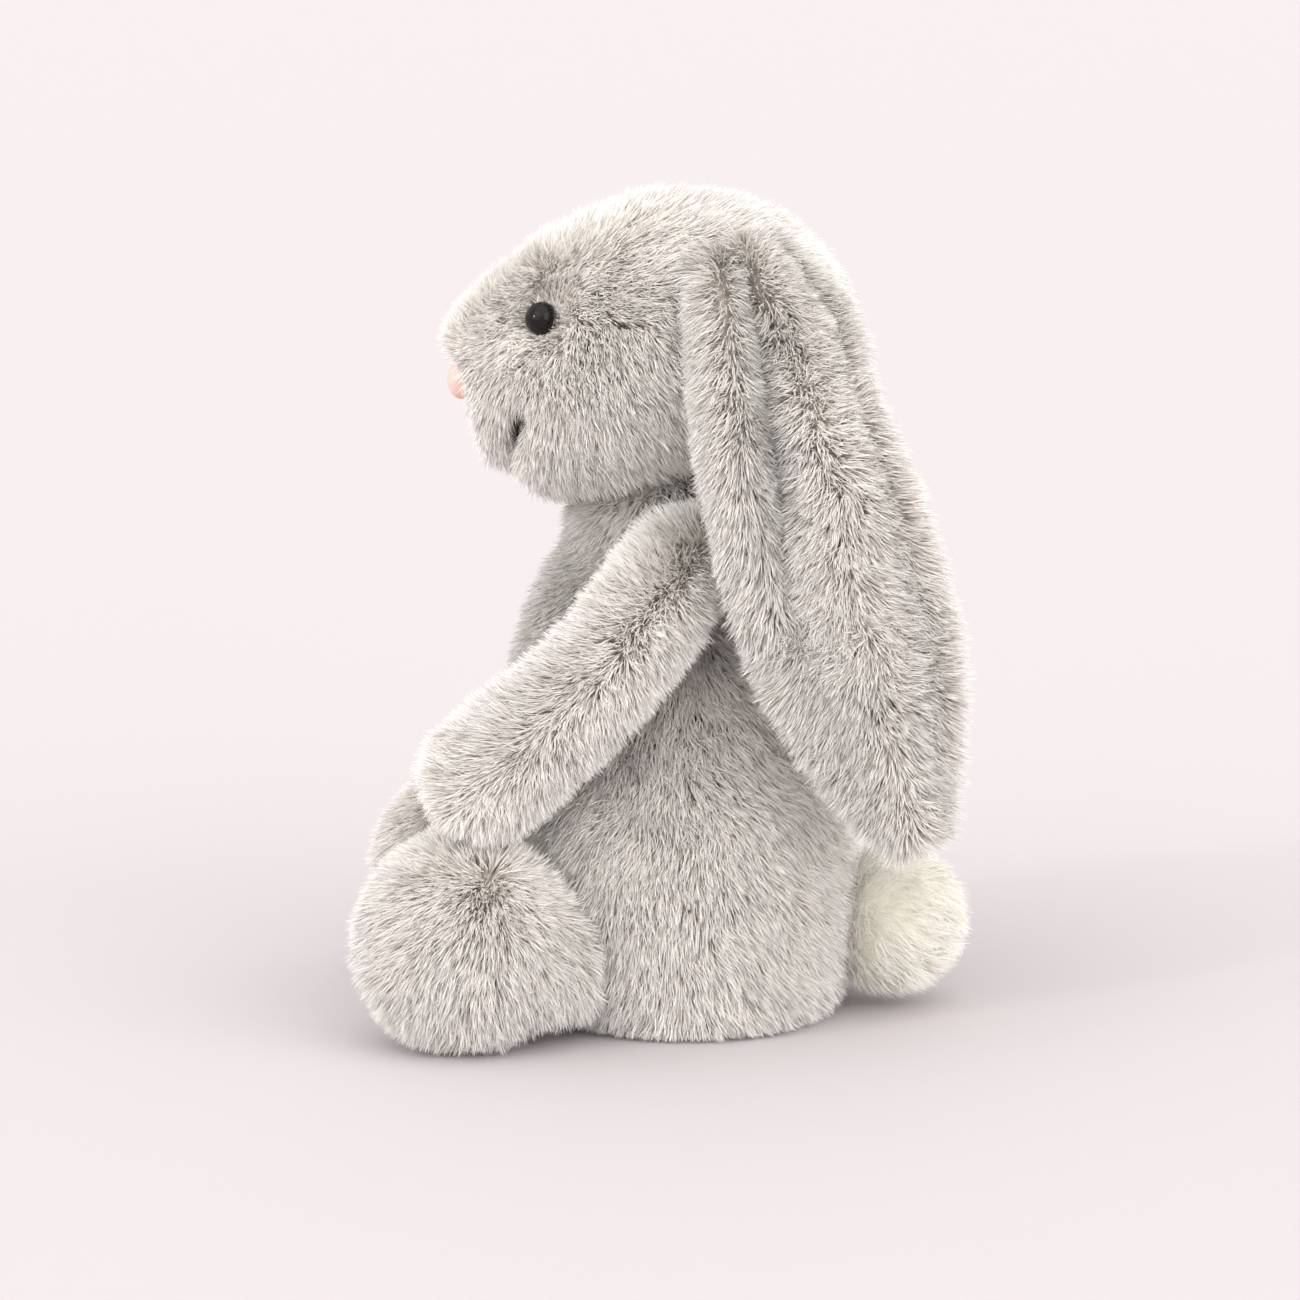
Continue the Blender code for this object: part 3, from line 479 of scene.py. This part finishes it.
table[:, 2:] -= SKIN_INSET
head_y = (head_low.y + head_high.y) / 2
table[:, 0] = head_y + (table[:, 0] - head_y) * (1 - SKIN_INSET / head_size.y)
centres = np.stack([0 * table[:, 0], table[:, 0], table[:, 1]], axis=-1)
grid = ovals(centres, (-1, 0, 0), (0, 0, 1), table[:, 3], table[:, 2], 72)
head_skin = sewn_shell("head_plush", grid, centres[0] + (0, -1 * MM, 0),
                       centres[-1] + (0, 1 * MM, 0), GREY_BACKING)
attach(head_skin, "head")
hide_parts("head_cover", "head_filling")

EYE_Y = head_low.y + 24.0 * MM
EYE_Z = HEAD_MIDDLE_Z + 8.0 * MM
NOSE_Z = HEAD_MIDDLE_Z - 8 * MM
MOUTH_DROP = 27.0 * MM      # the middle of the mouth, under the middle of the head
MOUTH_SMILE = 15.5 * MM     # and how far its corners rise
MOUTH_HALF = 21.5 * MM
FAR_OUT = 0.1               # where the lines that look for the face start


def surface_of(piece):
    shape = bmesh.new()
    shape.from_mesh(piece.data)
    tree = BVHTree.FromBMesh(shape)
    shape.free()
    return tree


def mouth_line(surface):
    """Curve on the face from cheek to cheek: its height grows with a power of the distance
    from the middle."""
    points = []
    for share in np.linspace(-1, 1, 41):
        z = HEAD_MIDDLE_Z - MOUTH_DROP + MOUTH_SMILE * abs(share) ** 1.7
        start = Vector((share * MOUTH_HALF, head_low.y - FAR_OUT, z))
        point = surface.ray_cast(start, Vector((0, 1, 0)))[0]
        if point is not None:
            points.append(tuple(point))
    return np.array(points)


def eye_spot(surface, side):
    """Where a level line from that side meets the face at the eye, and the way that the face
    looks there."""
    return surface.ray_cast(Vector((side * FAR_OUT, EYE_Y, EYE_Z)), Vector((-side, 0, 0)))[:2]


def bell(value, middle, width):
    """1 at the middle, falling away on both sides: exp(-((value - middle) / width)^2)."""
    return np.exp(-((value - middle) / width) ** 2)


def gap_to(points, path):
    """Distance of each point to the nearest point of the path."""
    return np.sqrt(((points[:, None] - path[None]) ** 2).sum(axis=-1).min(axis=1))


def press_in(piece, path, depth, width):
    """Push the skin inward along its normals: depth x exp(-(distance to the path / width)^2)."""
    mesh = piece.data
    co, normal = np.empty(len(mesh.vertices) * 3), np.empty(len(mesh.vertices) * 3)
    mesh.vertices.foreach_get("co", co)
    mesh.vertex_normals.foreach_get("vector", normal)
    co, normal = co.reshape(-1, 3), normal.reshape(-1, 3)
    co -= normal * (depth * bell(gap_to(co, path), 0, width))[:, None]
    mesh.vertices.foreach_set("co", co.ravel())
    mesh.update()


smooth_face = surface_of(head_skin)
eye_seats = np.array([eye_spot(smooth_face, side)[0] for side in (1, -1)])
press_in(head_skin, mouth_line(smooth_face), 2.6 * MM, 3.5 * MM)
press_in(head_skin, eye_seats, 2.0 * MM, 7.0 * MM)
head_surface = surface_of(head_skin)
MOUTH = mouth_line(head_surface)


def crown_seam(y):
    """Height of the seam between crown and cheek at each distance along the head."""
    return np.interp(y, np.array([-60, -57, -50, -43, -37, -19, 3, 34]) * MM,
                     np.array([157, 159, 169, 177, 184, 190.5, 191, 184]) * MM)


roots, outward = skin_roots(head_skin, DENSITY, 21)
eyes = np.array([eye_spot(head_surface, side)[0] for side in (1, -1)])
nose_tip = np.array([[0, head_low.y, NOSE_Z]])
seam_gap = roots[:, 2] - crown_seam(roots[:, 1])
above = ramp(seam_gap, -5 * MM, 3 * MM)[:, None]
behind = ramp(roots[:, 1], 0.0, 30 * MM)[:, None]
every = np.ones(len(roots))
crown_flow = np.stack([0.35 * outward[:, 0], 0.9 * every, 0.55 * every], axis=-1)
crown_flow = crown_flow * (1 - behind) + np.array([0, 0.5, -0.8]) * behind
high_up = (ramp(roots[:, 2], HEAD_MIDDLE_Z, HEAD_MIDDLE_Z + 22 * MM)
           * ramp(roots[:, 1], -42 * MM, -30 * MM))
backward = np.clip((roots[:, 1] + 44 * MM) / (38 * MM), -0.6, 0.7) + 1.5 * high_up
cheek_flow = np.stack([0.2 * outward[:, 0], backward, -every], axis=-1)
flow = unit(crown_flow) * above + unit(cheek_flow) * (1 - above)
flow[:, 1] += 0.35 * bell(above[:, 0], 0.5, 0.3)
eye_gap = gap_to(roots, eyes)
from_eye = unit(roots - eyes[(roots[:, 0] < 0).astype(int)])
flow += from_eye * (2.0 * (1 - ramp(eye_gap, 4 * MM, 10 * MM)))[:, None]
mouth_gap = gap_to(roots, MOUTH)
nose_gap = gap_to(roots, nose_tip)
over_nose = ramp(roots[:, 2] - NOSE_Z, 3 * MM, 9 * MM)
by_nose = (1 - ramp(nose_gap, 8 * MM, 17 * MM)) * (1 - over_nose)
flow += unit(roots - nose_tip) * (2.5 * by_nose)[:, None]
on_seam = bell(seam_gap, 0, 4 * MM) * (1 - behind[:, 0])
on_bridge = over_nose * (1 - ramp(roots[:, 1], head_low.y + 5 * MM, head_low.y + 16 * MM))
flow = unit(flow) * (FULL_LEAN - 0.15 * on_seam - 0.6 * on_bridge)[:, None]
corner_gap = gap_to(roots, MOUTH[np.abs(MOUTH[:, 0]) > 16 * MM])
trim = ((0.32 + 0.68 * ramp(eye_gap, 3.5 * MM, 11 * MM))
        * (0.10 + 0.90 * ramp(nose_gap + 8 * MM * over_nose, 7.5 * MM, 18 * MM))
        * (0.60 + 0.40 * ramp(mouth_gap, 0.5 * MM, 4 * MM))
        * (0.15 + 0.85 * ramp(corner_gap, 1.5 * MM, 5 * MM)))
cheeks = seam_gap < 0
on_left = roots[:, 0] > 0
lie = PILE_LIE - math.radians(16) * high_up
# Painted light and shade in the tone: lighter high on the forehead and on the bridge, darker over the
# crown above the seam, where the top light falls strongest.
tone = 0.10 + 0.06 * high_up + 0.10 * on_bridge - 0.13 * above[:, 0] * (1 - on_bridge)
for name, part in (("head_pile_crown", ~cheeks), ("head_pile_left", cheeks & on_left),
                   ("head_pile_right", cheeks & ~on_left)):
    hair = pile(name, roots[part], outward[part], flow[part], GREY_PILE, 22,
                length=PILE_LENGTH * trim[part], lie=lie[part], tone=tone[part])
    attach(hair, "head")

# --- Eyes ----------------------------------------------------------------------------------
# Glossy black domes of moulded plastic, pushed through the cover and locked by washers.
EYE_RADIUS = 4.05 * MM
EYE_BULGE = 4.0 * MM
EYE_STAND = 2.4 * MM        # the dome's widest ring, over the skin
EYE_LOOK = Vector((0, -1.8, 0.1))    # added to the skin's own direction: they look forward
eye_plastic = plain_material("eye_gloss", (0.006, 0.004, 0.004, 1), 0.07)
eye_plastic.node_tree.nodes["Principled BSDF"].inputs["Specular IOR Level"].default_value = 0.25
for side, label in ((1, "left"), (-1, "right")):
    point, normal = eye_spot(head_surface, side)
    turn = (normal + EYE_LOOK).normalized().to_track_quat("Z", "Y").to_matrix()
    across, up, look = (np.array(turn @ Vector(v)) for v in ((1, 0, 0), (0, 1, 0), (0, 0, 1)))
    base = np.array(point) + look * EYE_STAND
    angle = np.radians(np.linspace(-25, 84, 18))
    radius = EYE_RADIUS * np.cos(angle)
    centres = base + look * (EYE_BULGE * np.sin(angle))[:, None]
    grid = ovals(centres, across, up, radius, radius, 40)
    dome = sewn_shell(label + "_eye_dome", grid, centres[0], base + look * EYE_BULGE, eye_plastic)
    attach(dome, "head")
    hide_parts(label + "_eye")

# --- Nose ----------------------------------------------------------------------------------
# A small flat cushion of pink velour, sewn on at the tip of the muzzle.
NOSE_HALF_WIDTH = 6.8       # in mm, and wider by NOSE_FLARE at the top
NOSE_FLARE = 1.2
NOSE_HALF_HEIGHT = 4.8 * MM
NOSE_HALF_DEPTH = 3.4 * MM
NOSE_SINK = 1.9 * MM
nose_velour = backing_material("nose_nap", (0.84, 0.52, 0.45, 1), (0.92, 0.66, 0.59, 1))
angle = np.radians(np.linspace(-84, 84, 15))
bow = np.sin(angle)
centres = np.array([0, head_low.y + NOSE_SINK, NOSE_Z]) + np.outer(bow, (0, 0, NOSE_HALF_HEIGHT))
half_width = (NOSE_HALF_WIDTH + NOSE_FLARE * bow) * MM
grid = ovals(centres, (1, 0, 0), (0, 1, 0), half_width * np.cos(angle),
             NOSE_HALF_DEPTH * np.cos(angle), 28)
nose_pad = sewn_shell("nose_pad", grid, centres[0] - (0, 0, 0.1 * MM),
                      centres[-1] + (0, 0, 0.1 * MM), nose_velour)
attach(nose_pad, "head")
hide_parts("nose")

# --- Mouth ---------------------------------------------------------------------------------
# One dark thread from cheek to cheek and a short upright one, pulled tight into the pile.
MOUTH_LIFT = 1.3 * MM       # the thread's middle, over the skin
LIP_LIFT = 1.0 * MM
dark_thread = backing_material("mouth_thread_twist", (0.035, 0.028, 0.026, 1),
                               (0.07, 0.06, 0.055, 1))


def laid_thread(name, path, radius, node):
    """Round tube along the path: a ring at each point, square to the path there."""
    along = unit(np.gradient(path, axis=0))
    side = unit(np.cross(along, (0, 0, 1)) + 1e-9)
    up = np.cross(side, along)
    size = np.full(len(path), radius)
    size[[0, -1]] *= 0.5
    thread = sewn_shell(name, ovals(path, side, up, size, size, 10), path[0], path[-1], dark_thread)
    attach(thread, "head")
    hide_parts(node)


away = np.array([tuple(head_surface.find_nearest(Vector(point))[1]) for point in MOUTH])
laid_thread("mouth_stitch", MOUTH + MOUTH_LIFT * away, 0.95 * MM, "mouth_thread")
lip = []
for z in np.linspace(MOUTH[:, 2].min() + 1 * MM, NOSE_Z - 5 * MM, 9):
    point = head_surface.ray_cast(Vector((0, head_low.y - FAR_OUT, z)), Vector((0, 1, 0)))[0]
    lip.append((0, point.y - LIP_LIFT, z))
laid_thread("lip_stitch", np.array(lip), 0.7 * MM, "lip_thread")

# --- Arms ----------------------------------------------------------------------------------
# Long soft sausages, gathered at the shoulder and full at the paw. The pile parts along the
# outer side and falls away from the parting towards the paw.
PAW_RADIUS = 13.2 * MM
SHOULDER_SPREAD = 22.6 * MM
SHOULDER_Y = -3.0 * MM
SHOULDER_Z = 117.0 * MM
ARM_SAG = 3.0 * MM
EXTRA = 0.4                 # share of extra strands where the pile parts
ARM_ROWS = (  # share of the reach, share of the spread, radius / paw radius
    (0.00, 0.05, 0.62), (0.05, 0.30, 0.78), (0.14, 0.52, 0.87), (0.27, 0.76, 0.895),
    (0.50, 0.93, 0.90), (0.75, 1.0, 0.945), (1.00, 1.00, 1.0))


def kept_at_random(share, seed):
    """True for about that share of the roots: one share for each root."""
    return np.random.default_rng(seed).random(len(share)) < share


for side, label in ((1, "left"), (-1, "right")):
    arm_low, arm_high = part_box(label + "_arm_cover")
    shoulder = np.array([side * SHOULDER_SPREAD, SHOULDER_Y, SHOULDER_Z])
    paw = np.array([(arm_high.x if side > 0 else arm_low.x) - side * PAW_RADIUS,
                    arm_low.y + PAW_RADIUS, arm_low.z + PAW_RADIUS])
    hang = unit((paw - shoulder) * np.array([0, 1, 1]))
    over = np.cross(hang, (side, 0, 0)) * side       # across the arm, up and forward
    reach = np.linalg.norm((paw - shoulder)[1:])
    rows = through(ARM_ROWS, 6)
    path = shoulder + hang * reach * rows[:, :1] - over * ARM_SAG * np.sin(math.pi * rows[:, :1])
    path[:, 0] += rows[:, 1] * (paw[0] - shoulder[0])
    radius = rows[:, 2] * PAW_RADIUS - SKIN_INSET
    turns = np.radians((14, 28, 42, 56, 70, 82))
    path = np.vstack([path, path[-1] + hang * (radius[-1] * np.sin(turns))[:, None]])
    radius = np.concatenate([radius, radius[-1] * np.cos(turns)])
    tangent = unit(np.gradient(path, axis=0))
    lift_way = unit(over - tangent * dot(tangent, over)[:, None])
    grid = ovals(path, np.cross(tangent, lift_way), lift_way, radius, radius, 48)
    arm_skin = sewn_shell(label + "_arm_plush", grid, path[0] - tangent[0] * 1 * MM,
                          path[-1] + hang * 0.3 * MM, GREY_BACKING)
    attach(arm_skin, label + "_arm")
    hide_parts(label + "_arm_cover", label + "_arm_filling")

    roots, outward = skin_roots(arm_skin, (1 + EXTRA) * DENSITY, 31)
    on_parting = bell(dot(outward, over), 0, 0.45) * (side * outward[:, 0] > 0)
    kept = kept_at_random((1 + EXTRA * on_parting) / (1 + EXTRA), 33)
    roots, outward = roots[kept], outward[kept]
    turn_way = np.tanh((dot(outward, over) + 0.08) / 0.55)
    around = np.cross(hang, outward) * side
    flow = around * (turn_way * 0.85)[:, None] + hang * 0.5 + np.array([0, 0, -0.15])
    flow = unit(flow) * np.clip(0.68 + 0.30 * np.abs(turn_way), 0, FULL_LEAN)[:, None]
    near_body = ramp(-side * outward[:, 0], 0.2, 0.8)
    # Painted light: the strands along the parting are made lighter, to fill the shade between the
    # strands that part there.
    hair = pile(label + "_arm_pile", roots, outward, flow, GREY_PILE, 32,
                length=PILE_LENGTH * (1 - 0.45 * near_body),
                tone=0.04 + 0.14 * bell(turn_way, 0, 0.5))
    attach(hair, label + "_arm")

# --- Legs ----------------------------------------------------------------------------------
# Short plump feet sewn to the front of the seat, standing on their heels. The pile spreads
# from a whorl on the top of each foot.
FOOT_HALF = np.array([20.0, 21.5, 25.0]) * MM
LEG_SEAM_RADIUS = 12 * MM
LEG_SEAM_SHIFT = 8 * MM     # the seam, towards the middle of the body
LEG_SEAM_Z = 18.5 * MM
TOE_SHARE = 0.97            # how far forward the skin reaches, under the pile
for side, label in ((1, "left"), (-1, "right")):
    leg_low, leg_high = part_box(label + "_leg_cover")
    foot = np.array([(leg_high.x if side > 0 else leg_low.x) - side * FOOT_HALF[0],
                     leg_low.y + FOOT_HALF[1], FOOT_HALF[2]])
    rows = [(foot[0] - side * LEG_SEAM_SHIFT, leg_high.y - 0.2 * MM, LEG_SEAM_Z,
             LEG_SEAM_RADIUS, LEG_SEAM_RADIUS)]
    for share in (-0.66, -0.30, 0.0, 0.40, 0.70, 0.90, 0.985):
        size = math.sqrt(1 - share * share)
        rows.append((foot[0], foot[1] - FOOT_HALF[1] * share, foot[2], FOOT_HALF[0] * size,
                     FOOT_HALF[2] * size))
    table = through(rows, 4)
    table[:, 3:] = np.maximum(table[:, 3:] - SKIN_INSET, 0.8 * MM)
    ahead = table[:, 1] < foot[1]
    table[:, 1] = foot[1] + (table[:, 1] - foot[1]) * np.where(ahead, TOE_SHARE, 1.0)
    grid = ovals(table[:, :3], (side, 0, 0), (0, 0, 1), table[:, 3], table[:, 4], 48)
    leg_skin = sewn_shell(label + "_leg_plush", grid, table[0, :3] + (0, 0.5 * MM, 0),
                          table[-1, :3] - (0, 0.3 * MM, 0), GREY_BACKING)
    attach(leg_skin, label + "_leg")
    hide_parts(label + "_leg_cover", label + "_leg_filling")

    roots, outward = skin_roots(leg_skin, (1 + EXTRA) * DENSITY, 41)
    whorl = foot + FOOT_HALF * np.array([side * 0.55, 0.30, 0.72])
    in_whorl = 1 - ramp(gap_to(roots, whorl[None]), 4 * MM, 20 * MM)
    kept = kept_at_random((1 + EXTRA * in_whorl) / (1 + EXTRA), 43)
    roots, outward, in_whorl = roots[kept], outward[kept], in_whorl[kept]
    flow = unit(unit(roots - whorl) + np.array([0, -0.25, -0.35]))
    flow *= (FULL_LEAN - 0.18 * in_whorl)[:, None]
    # Painted light: the strands in the whorl are made lighter, to fill the shade where they part.
    hair = pile(label + "_leg_pile", roots, outward, flow, GREY_PILE, 42,
                tone=0.06 + 0.18 * in_whorl)
    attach(hair, label + "_leg")

# --- Ears ----------------------------------------------------------------------------------
# Two panels of plush sewn face to face, folded at the root so that the front edge makes a
# lobe, and hanging over the shoulder. The pile parts down the lobe and down the flank.
EAR_LENGTH = 143.0 * MM
EAR_WIDTH = 47.0 * MM
EAR_LEAN = math.radians(17.5)
EAR_TRIM = 3.5 * MM
EAR_BACK = 12.0 * MM        # the root, behind the middle of the neck
EAR_DROP = 10.0 * MM        # and under the top of the head
EAR_STAND = 3.5 * MM        # the ear's middle, off the head's own surface
EAR_BACK_GAIN = 5.0 * MM    # the back half is wider by this near the root
EAR_PUFF = 2.6 * MM         # half thickness of the two panels
LOBE_RISE = 12.0 * MM
VALLEY_DEPTH = 11.5 * MM
FLANK_RISE = 3.0 * MM       # twice as much where the lobe is full
GROOVE_DEPTH = 3.0 * MM
EAR_ROWS = (  # share of the length, half width / width, hang share, lobe
    (0.00, 0.20, 0.10, 0.3), (0.12, 0.32, 0.42, 0.9), (0.26, 0.42, 0.85, 1.0),
    (0.42, 0.48, 1.0, 0.55), (0.56, 0.50, 1.0, 0.18), (0.70, 0.465, 0.97, 0.05),
    (0.82, 0.37, 0.94, 0.0), (0.92, 0.24, 0.92, 0.0), (0.985, 0.09, 0.92, 0.0))


def ear_lines(a):
    """Where the folds run at each share of the length, in shares of the half width: the
    lobe's ridge, the valley, the flank's parting and the groove beside the back edge."""
    ridge = np.interp(a, [0.0, 0.2, 0.45], [-0.55, -0.66, -0.78])
    valley = np.interp(a, [0.0, 0.23, 0.37, 0.48], [-0.02, -0.12, -0.25, -0.50])
    parting = np.interp(a, [0.0, 0.25, 0.4, 0.6, 1.0], [0.42, 0.46, 0.36, 0.18, 0.05])
    groove = np.interp(a, [0.0, 0.15, 0.4, 1.0], [0.70, 0.74, 0.76, 0.72])
    return ridge, valley, parting, groove


def ear_half(a, share, s):
    """Half width of the skin at a share of the length: share x width, less the trim inside
    the seam, and wider behind the middle (s above 0) in a bell near the root."""
    half = share * EAR_WIDTH - EAR_TRIM * ramp(share, 0.05, 0.3)
    return half + EAR_BACK_GAIN * bell(a, 0.14, 0.10) * ramp(s, 0.0, 0.6)


for side, label in ((1, "left"), (-1, "right")):
    ear_low, ear_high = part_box(label + "_ear_outer_panel")
    hang_x = max(abs(ear_low.x), abs(ear_high.x)) - 8.0 * MM
    root = np.array([0, NECK_Y + EAR_BACK, head_high.z - EAR_DROP])
    along = np.array([0, math.sin(EAR_LEAN), -math.cos(EAR_LEAN)])
    across = np.array([0, math.cos(EAR_LEAN), math.sin(EAR_LEAN)])
    rows = through(EAR_ROWS, 6)
    a, share, drop, lobe = (rows[:, i][:, None] for i in range(4))
    turn = 2 * math.pi * (np.arange(72) + 0.5) / 72
    s = np.cos(turn)[None] * np.ones_like(a)
    face = np.sin(turn)[None]                         # +1 on the outer face, -1 on the inner
    flat = root + along * (EAR_LENGTH * a)[..., None] + across * (ear_half(a, share, s) * s)[..., None]
    head_centre = np.array([0, head_y, HEAD_MIDDLE_Z])
    rel = (flat - head_centre) / (np.array(head_size) / 2 + EAR_STAND)
    inside = np.clip(1 - rel[..., 1] ** 2 - rel[..., 2] ** 2, 0, 1)
    head_x = (head_size.x / 2 + EAR_STAND) * np.sqrt(inside)
    middle_x = (head_x ** 5 + (hang_x * drop) ** 5) ** 0.2    # the larger, with a soft change
    ridge, valley, parting, groove = ear_lines(a)
    puff = EAR_PUFF * np.abs(face) ** 0.6
    bulge = (LOBE_RISE * lobe * bell(s, ridge, 0.36)
             - VALLEY_DEPTH * lobe * bell(s, valley, 0.15)
             + FLANK_RISE * (1 + lobe) * bell(s, parting, 0.36)
             - GROOVE_DEPTH * bell(s, groove, 0.08))
    bulge = np.maximum(bulge, 0.6 * MM - 2 * puff)
    x = middle_x + np.where(face > 0, puff + bulge * np.clip(face * 3, 0, 1), -puff)
    ends = np.clip(np.minimum(a / 0.04, (1 - a) / 0.05), 0.3, 1)
    x = middle_x + (x - middle_x) * ends
    grid = flat.copy()
    grid[..., 0] = side * x
    first, last = grid[0].mean(axis=0), grid[-1].mean(axis=0) + along * 1.5 * MM
    ear_skin = sewn_shell(label + "_ear_plush", grid, first, last, GREY_BACKING)
    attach(ear_skin, label + "_ear")
    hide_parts(label + "_ear_inner_panel", label + "_ear_outer_panel")

    roots, outward = skin_roots(ear_skin, 1.15 * DENSITY, 51)
    spot = roots - root
    a = dot(spot, along) / EAR_LENGTH
    share = np.interp(a, rows[:, 0], rows[:, 1])
    s = dot(spot, across) / ear_half(a, share, 0)
    s = np.clip(dot(spot, across) / ear_half(a, share, s), -1.2, 1.2)
    lobe = np.interp(a, rows[:, 0], rows[:, 3])
    ridge, valley, parting, groove = ear_lines(a)
    flank_way = np.tanh((s - parting) / 0.50)
    lobe_way = 0.25 * np.tanh((s - ridge - 0.30) / 0.25) - 0.35
    lobe = np.clip(lobe * 1.5, 0, 1)
    in_valley = lobe * bell(s, valley, 0.14)
    behind_lobe = lobe * bell(s, (valley + ridge) / 2 + 0.04, 0.22)
    in_lobe = (s < valley) & (lobe > 0.2)
    way = np.where(in_lobe, lobe_way, flank_way) * (1 - 0.8 * in_valley)
    outer_face = ramp(side * outward[:, 0], -0.1, 0.3)
    way = way * outer_face + np.sign(s) * 0.5 * (1 - outer_face)
    flow = across * way[:, None] + along * np.where(in_lobe, 1.0, 0.55)[:, None]
    flow = unit(flow) * np.clip(0.66 + 0.32 * np.abs(way) + 0.25 * in_lobe, 0, FULL_LEAN)[:, None]
    trim = (1 - 0.5 * (1 - outer_face) - 0.45 * outer_face * bell(s, groove, 0.07)
            - 0.7 * outer_face * in_valley - 0.45 * outer_face * behind_lobe * (1 - in_valley))
    # Painted light and shade: lighter along the flank's parting on the outer face, and painted shade,
    # much darker, in the valley and behind the lobe beside it, where the fold lies in shadow.
    tone = (0.07 * outer_face * bell(flank_way, 0, 0.5) * ~in_lobe - 0.03
            - 0.45 * np.maximum(in_valley, behind_lobe))
    outside = outer_face > 0.5
    for name, part in (("_ear_pile_outer", outside), ("_ear_pile_inner", ~outside)):
        hair = pile(label + name, roots[part], outward[part], flow[part], GREY_PILE, 52,
                    length=PILE_LENGTH * trim[part], tone=tone[part])
        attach(hair, label + "_ear")

# --- Tail ----------------------------------------------------------------------------------
# A cream pompom of longer, finer pile, sewn on low at the back.
TAIL_PRESS = 3 * MM         # how far the pompom's middle is pressed towards the body
TAIL_FOOT = 0.5 * MM        # its skin, inside the pile
TAIL_PILE_LENGTH = 7.5 * MM
TAIL_STRAND_WIDTH = 0.20 * MM
AGAINST_BODY = -0.85        # faces that look forward more than this are sewn to the body
CREAM_PILE = pile_material("cream_pile", (0.95, 0.915, 0.80, 1), (0.975, 0.955, 0.88, 1),
                           (0.99, 0.985, 0.95, 1), 0.01)
CREAM_BACKING = backing_material("cream_backing", (0.93, 0.89, 0.77, 1), (0.96, 0.93, 0.83, 1))
tail_low, tail_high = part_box("tail_cover")
tail_radius = (tail_high.z - tail_low.z) / 2
tail_centre = np.array([0, tail_high.y - tail_radius - TAIL_PRESS, (tail_low.z + tail_high.z) / 2])
angle = np.radians(np.linspace(14, 172, 24))
radius = (tail_radius - TAIL_FOOT) * np.sin(angle)
centres = tail_centre - np.outer((tail_radius - TAIL_FOOT) * np.cos(angle), (0, 1, 0))
grid = ovals(centres, (1, 0, 0), (0, 0, 1), radius, radius, 40)
tail_skin = sewn_shell("tail_plush", grid, centres[0], centres[-1] + (0, 0.1 * MM, 0),
                       CREAM_BACKING)
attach(tail_skin, "tail")
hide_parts("tail_cover", "tail_filling")
roots, outward = skin_roots(tail_skin, 0.5 * DENSITY, 61)
clear = outward[:, 1] > AGAINST_BODY
roots, outward = roots[clear], outward[clear]
flow = np.broadcast_to(unit(np.array([0, 0.7, -0.4])) * FULL_LEAN, roots.shape)
hair = pile("tail_pile", roots, outward, flow, CREAM_PILE, 62, length=TAIL_PILE_LENGTH,
            lie=math.radians(30), cling=0.15, wild=0.6, width=TAIL_STRAND_WIDTH)
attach(hair, "tail")

# --- Hidden pieces -------------------------------------------------------------------------
# The pellet bag in the seat, its pellets, the eye washers and the thread that closes the neck.
HIDDEN = (("pellet_bag", "bag_weave", (0.70, 0.69, 0.64, 1), (0.80, 0.79, 0.75, 1)),
          ("pellets", "pellet_plastic", (0.66, 0.66, 0.62, 1), (0.80, 0.80, 0.77, 1)),
          ("left_eye_washer", "washer_left", (0.70, 0.70, 0.68, 1), (0.78, 0.78, 0.76, 1)),
          ("right_eye_washer", "washer_right", (0.70, 0.70, 0.68, 1), (0.78, 0.78, 0.76, 1)),
          ("neck_seam", "neck_twist", (0.36, 0.33, 0.30, 1), (0.50, 0.47, 0.44, 1)))
for node, name, dark, light in HIDDEN:
    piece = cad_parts[node]
    finish = backing_material(name, dark, light)
    if piece.material_slots:
        for slot in piece.material_slots:
            slot.material = finish
    else:
        piece.data.materials.append(finish)
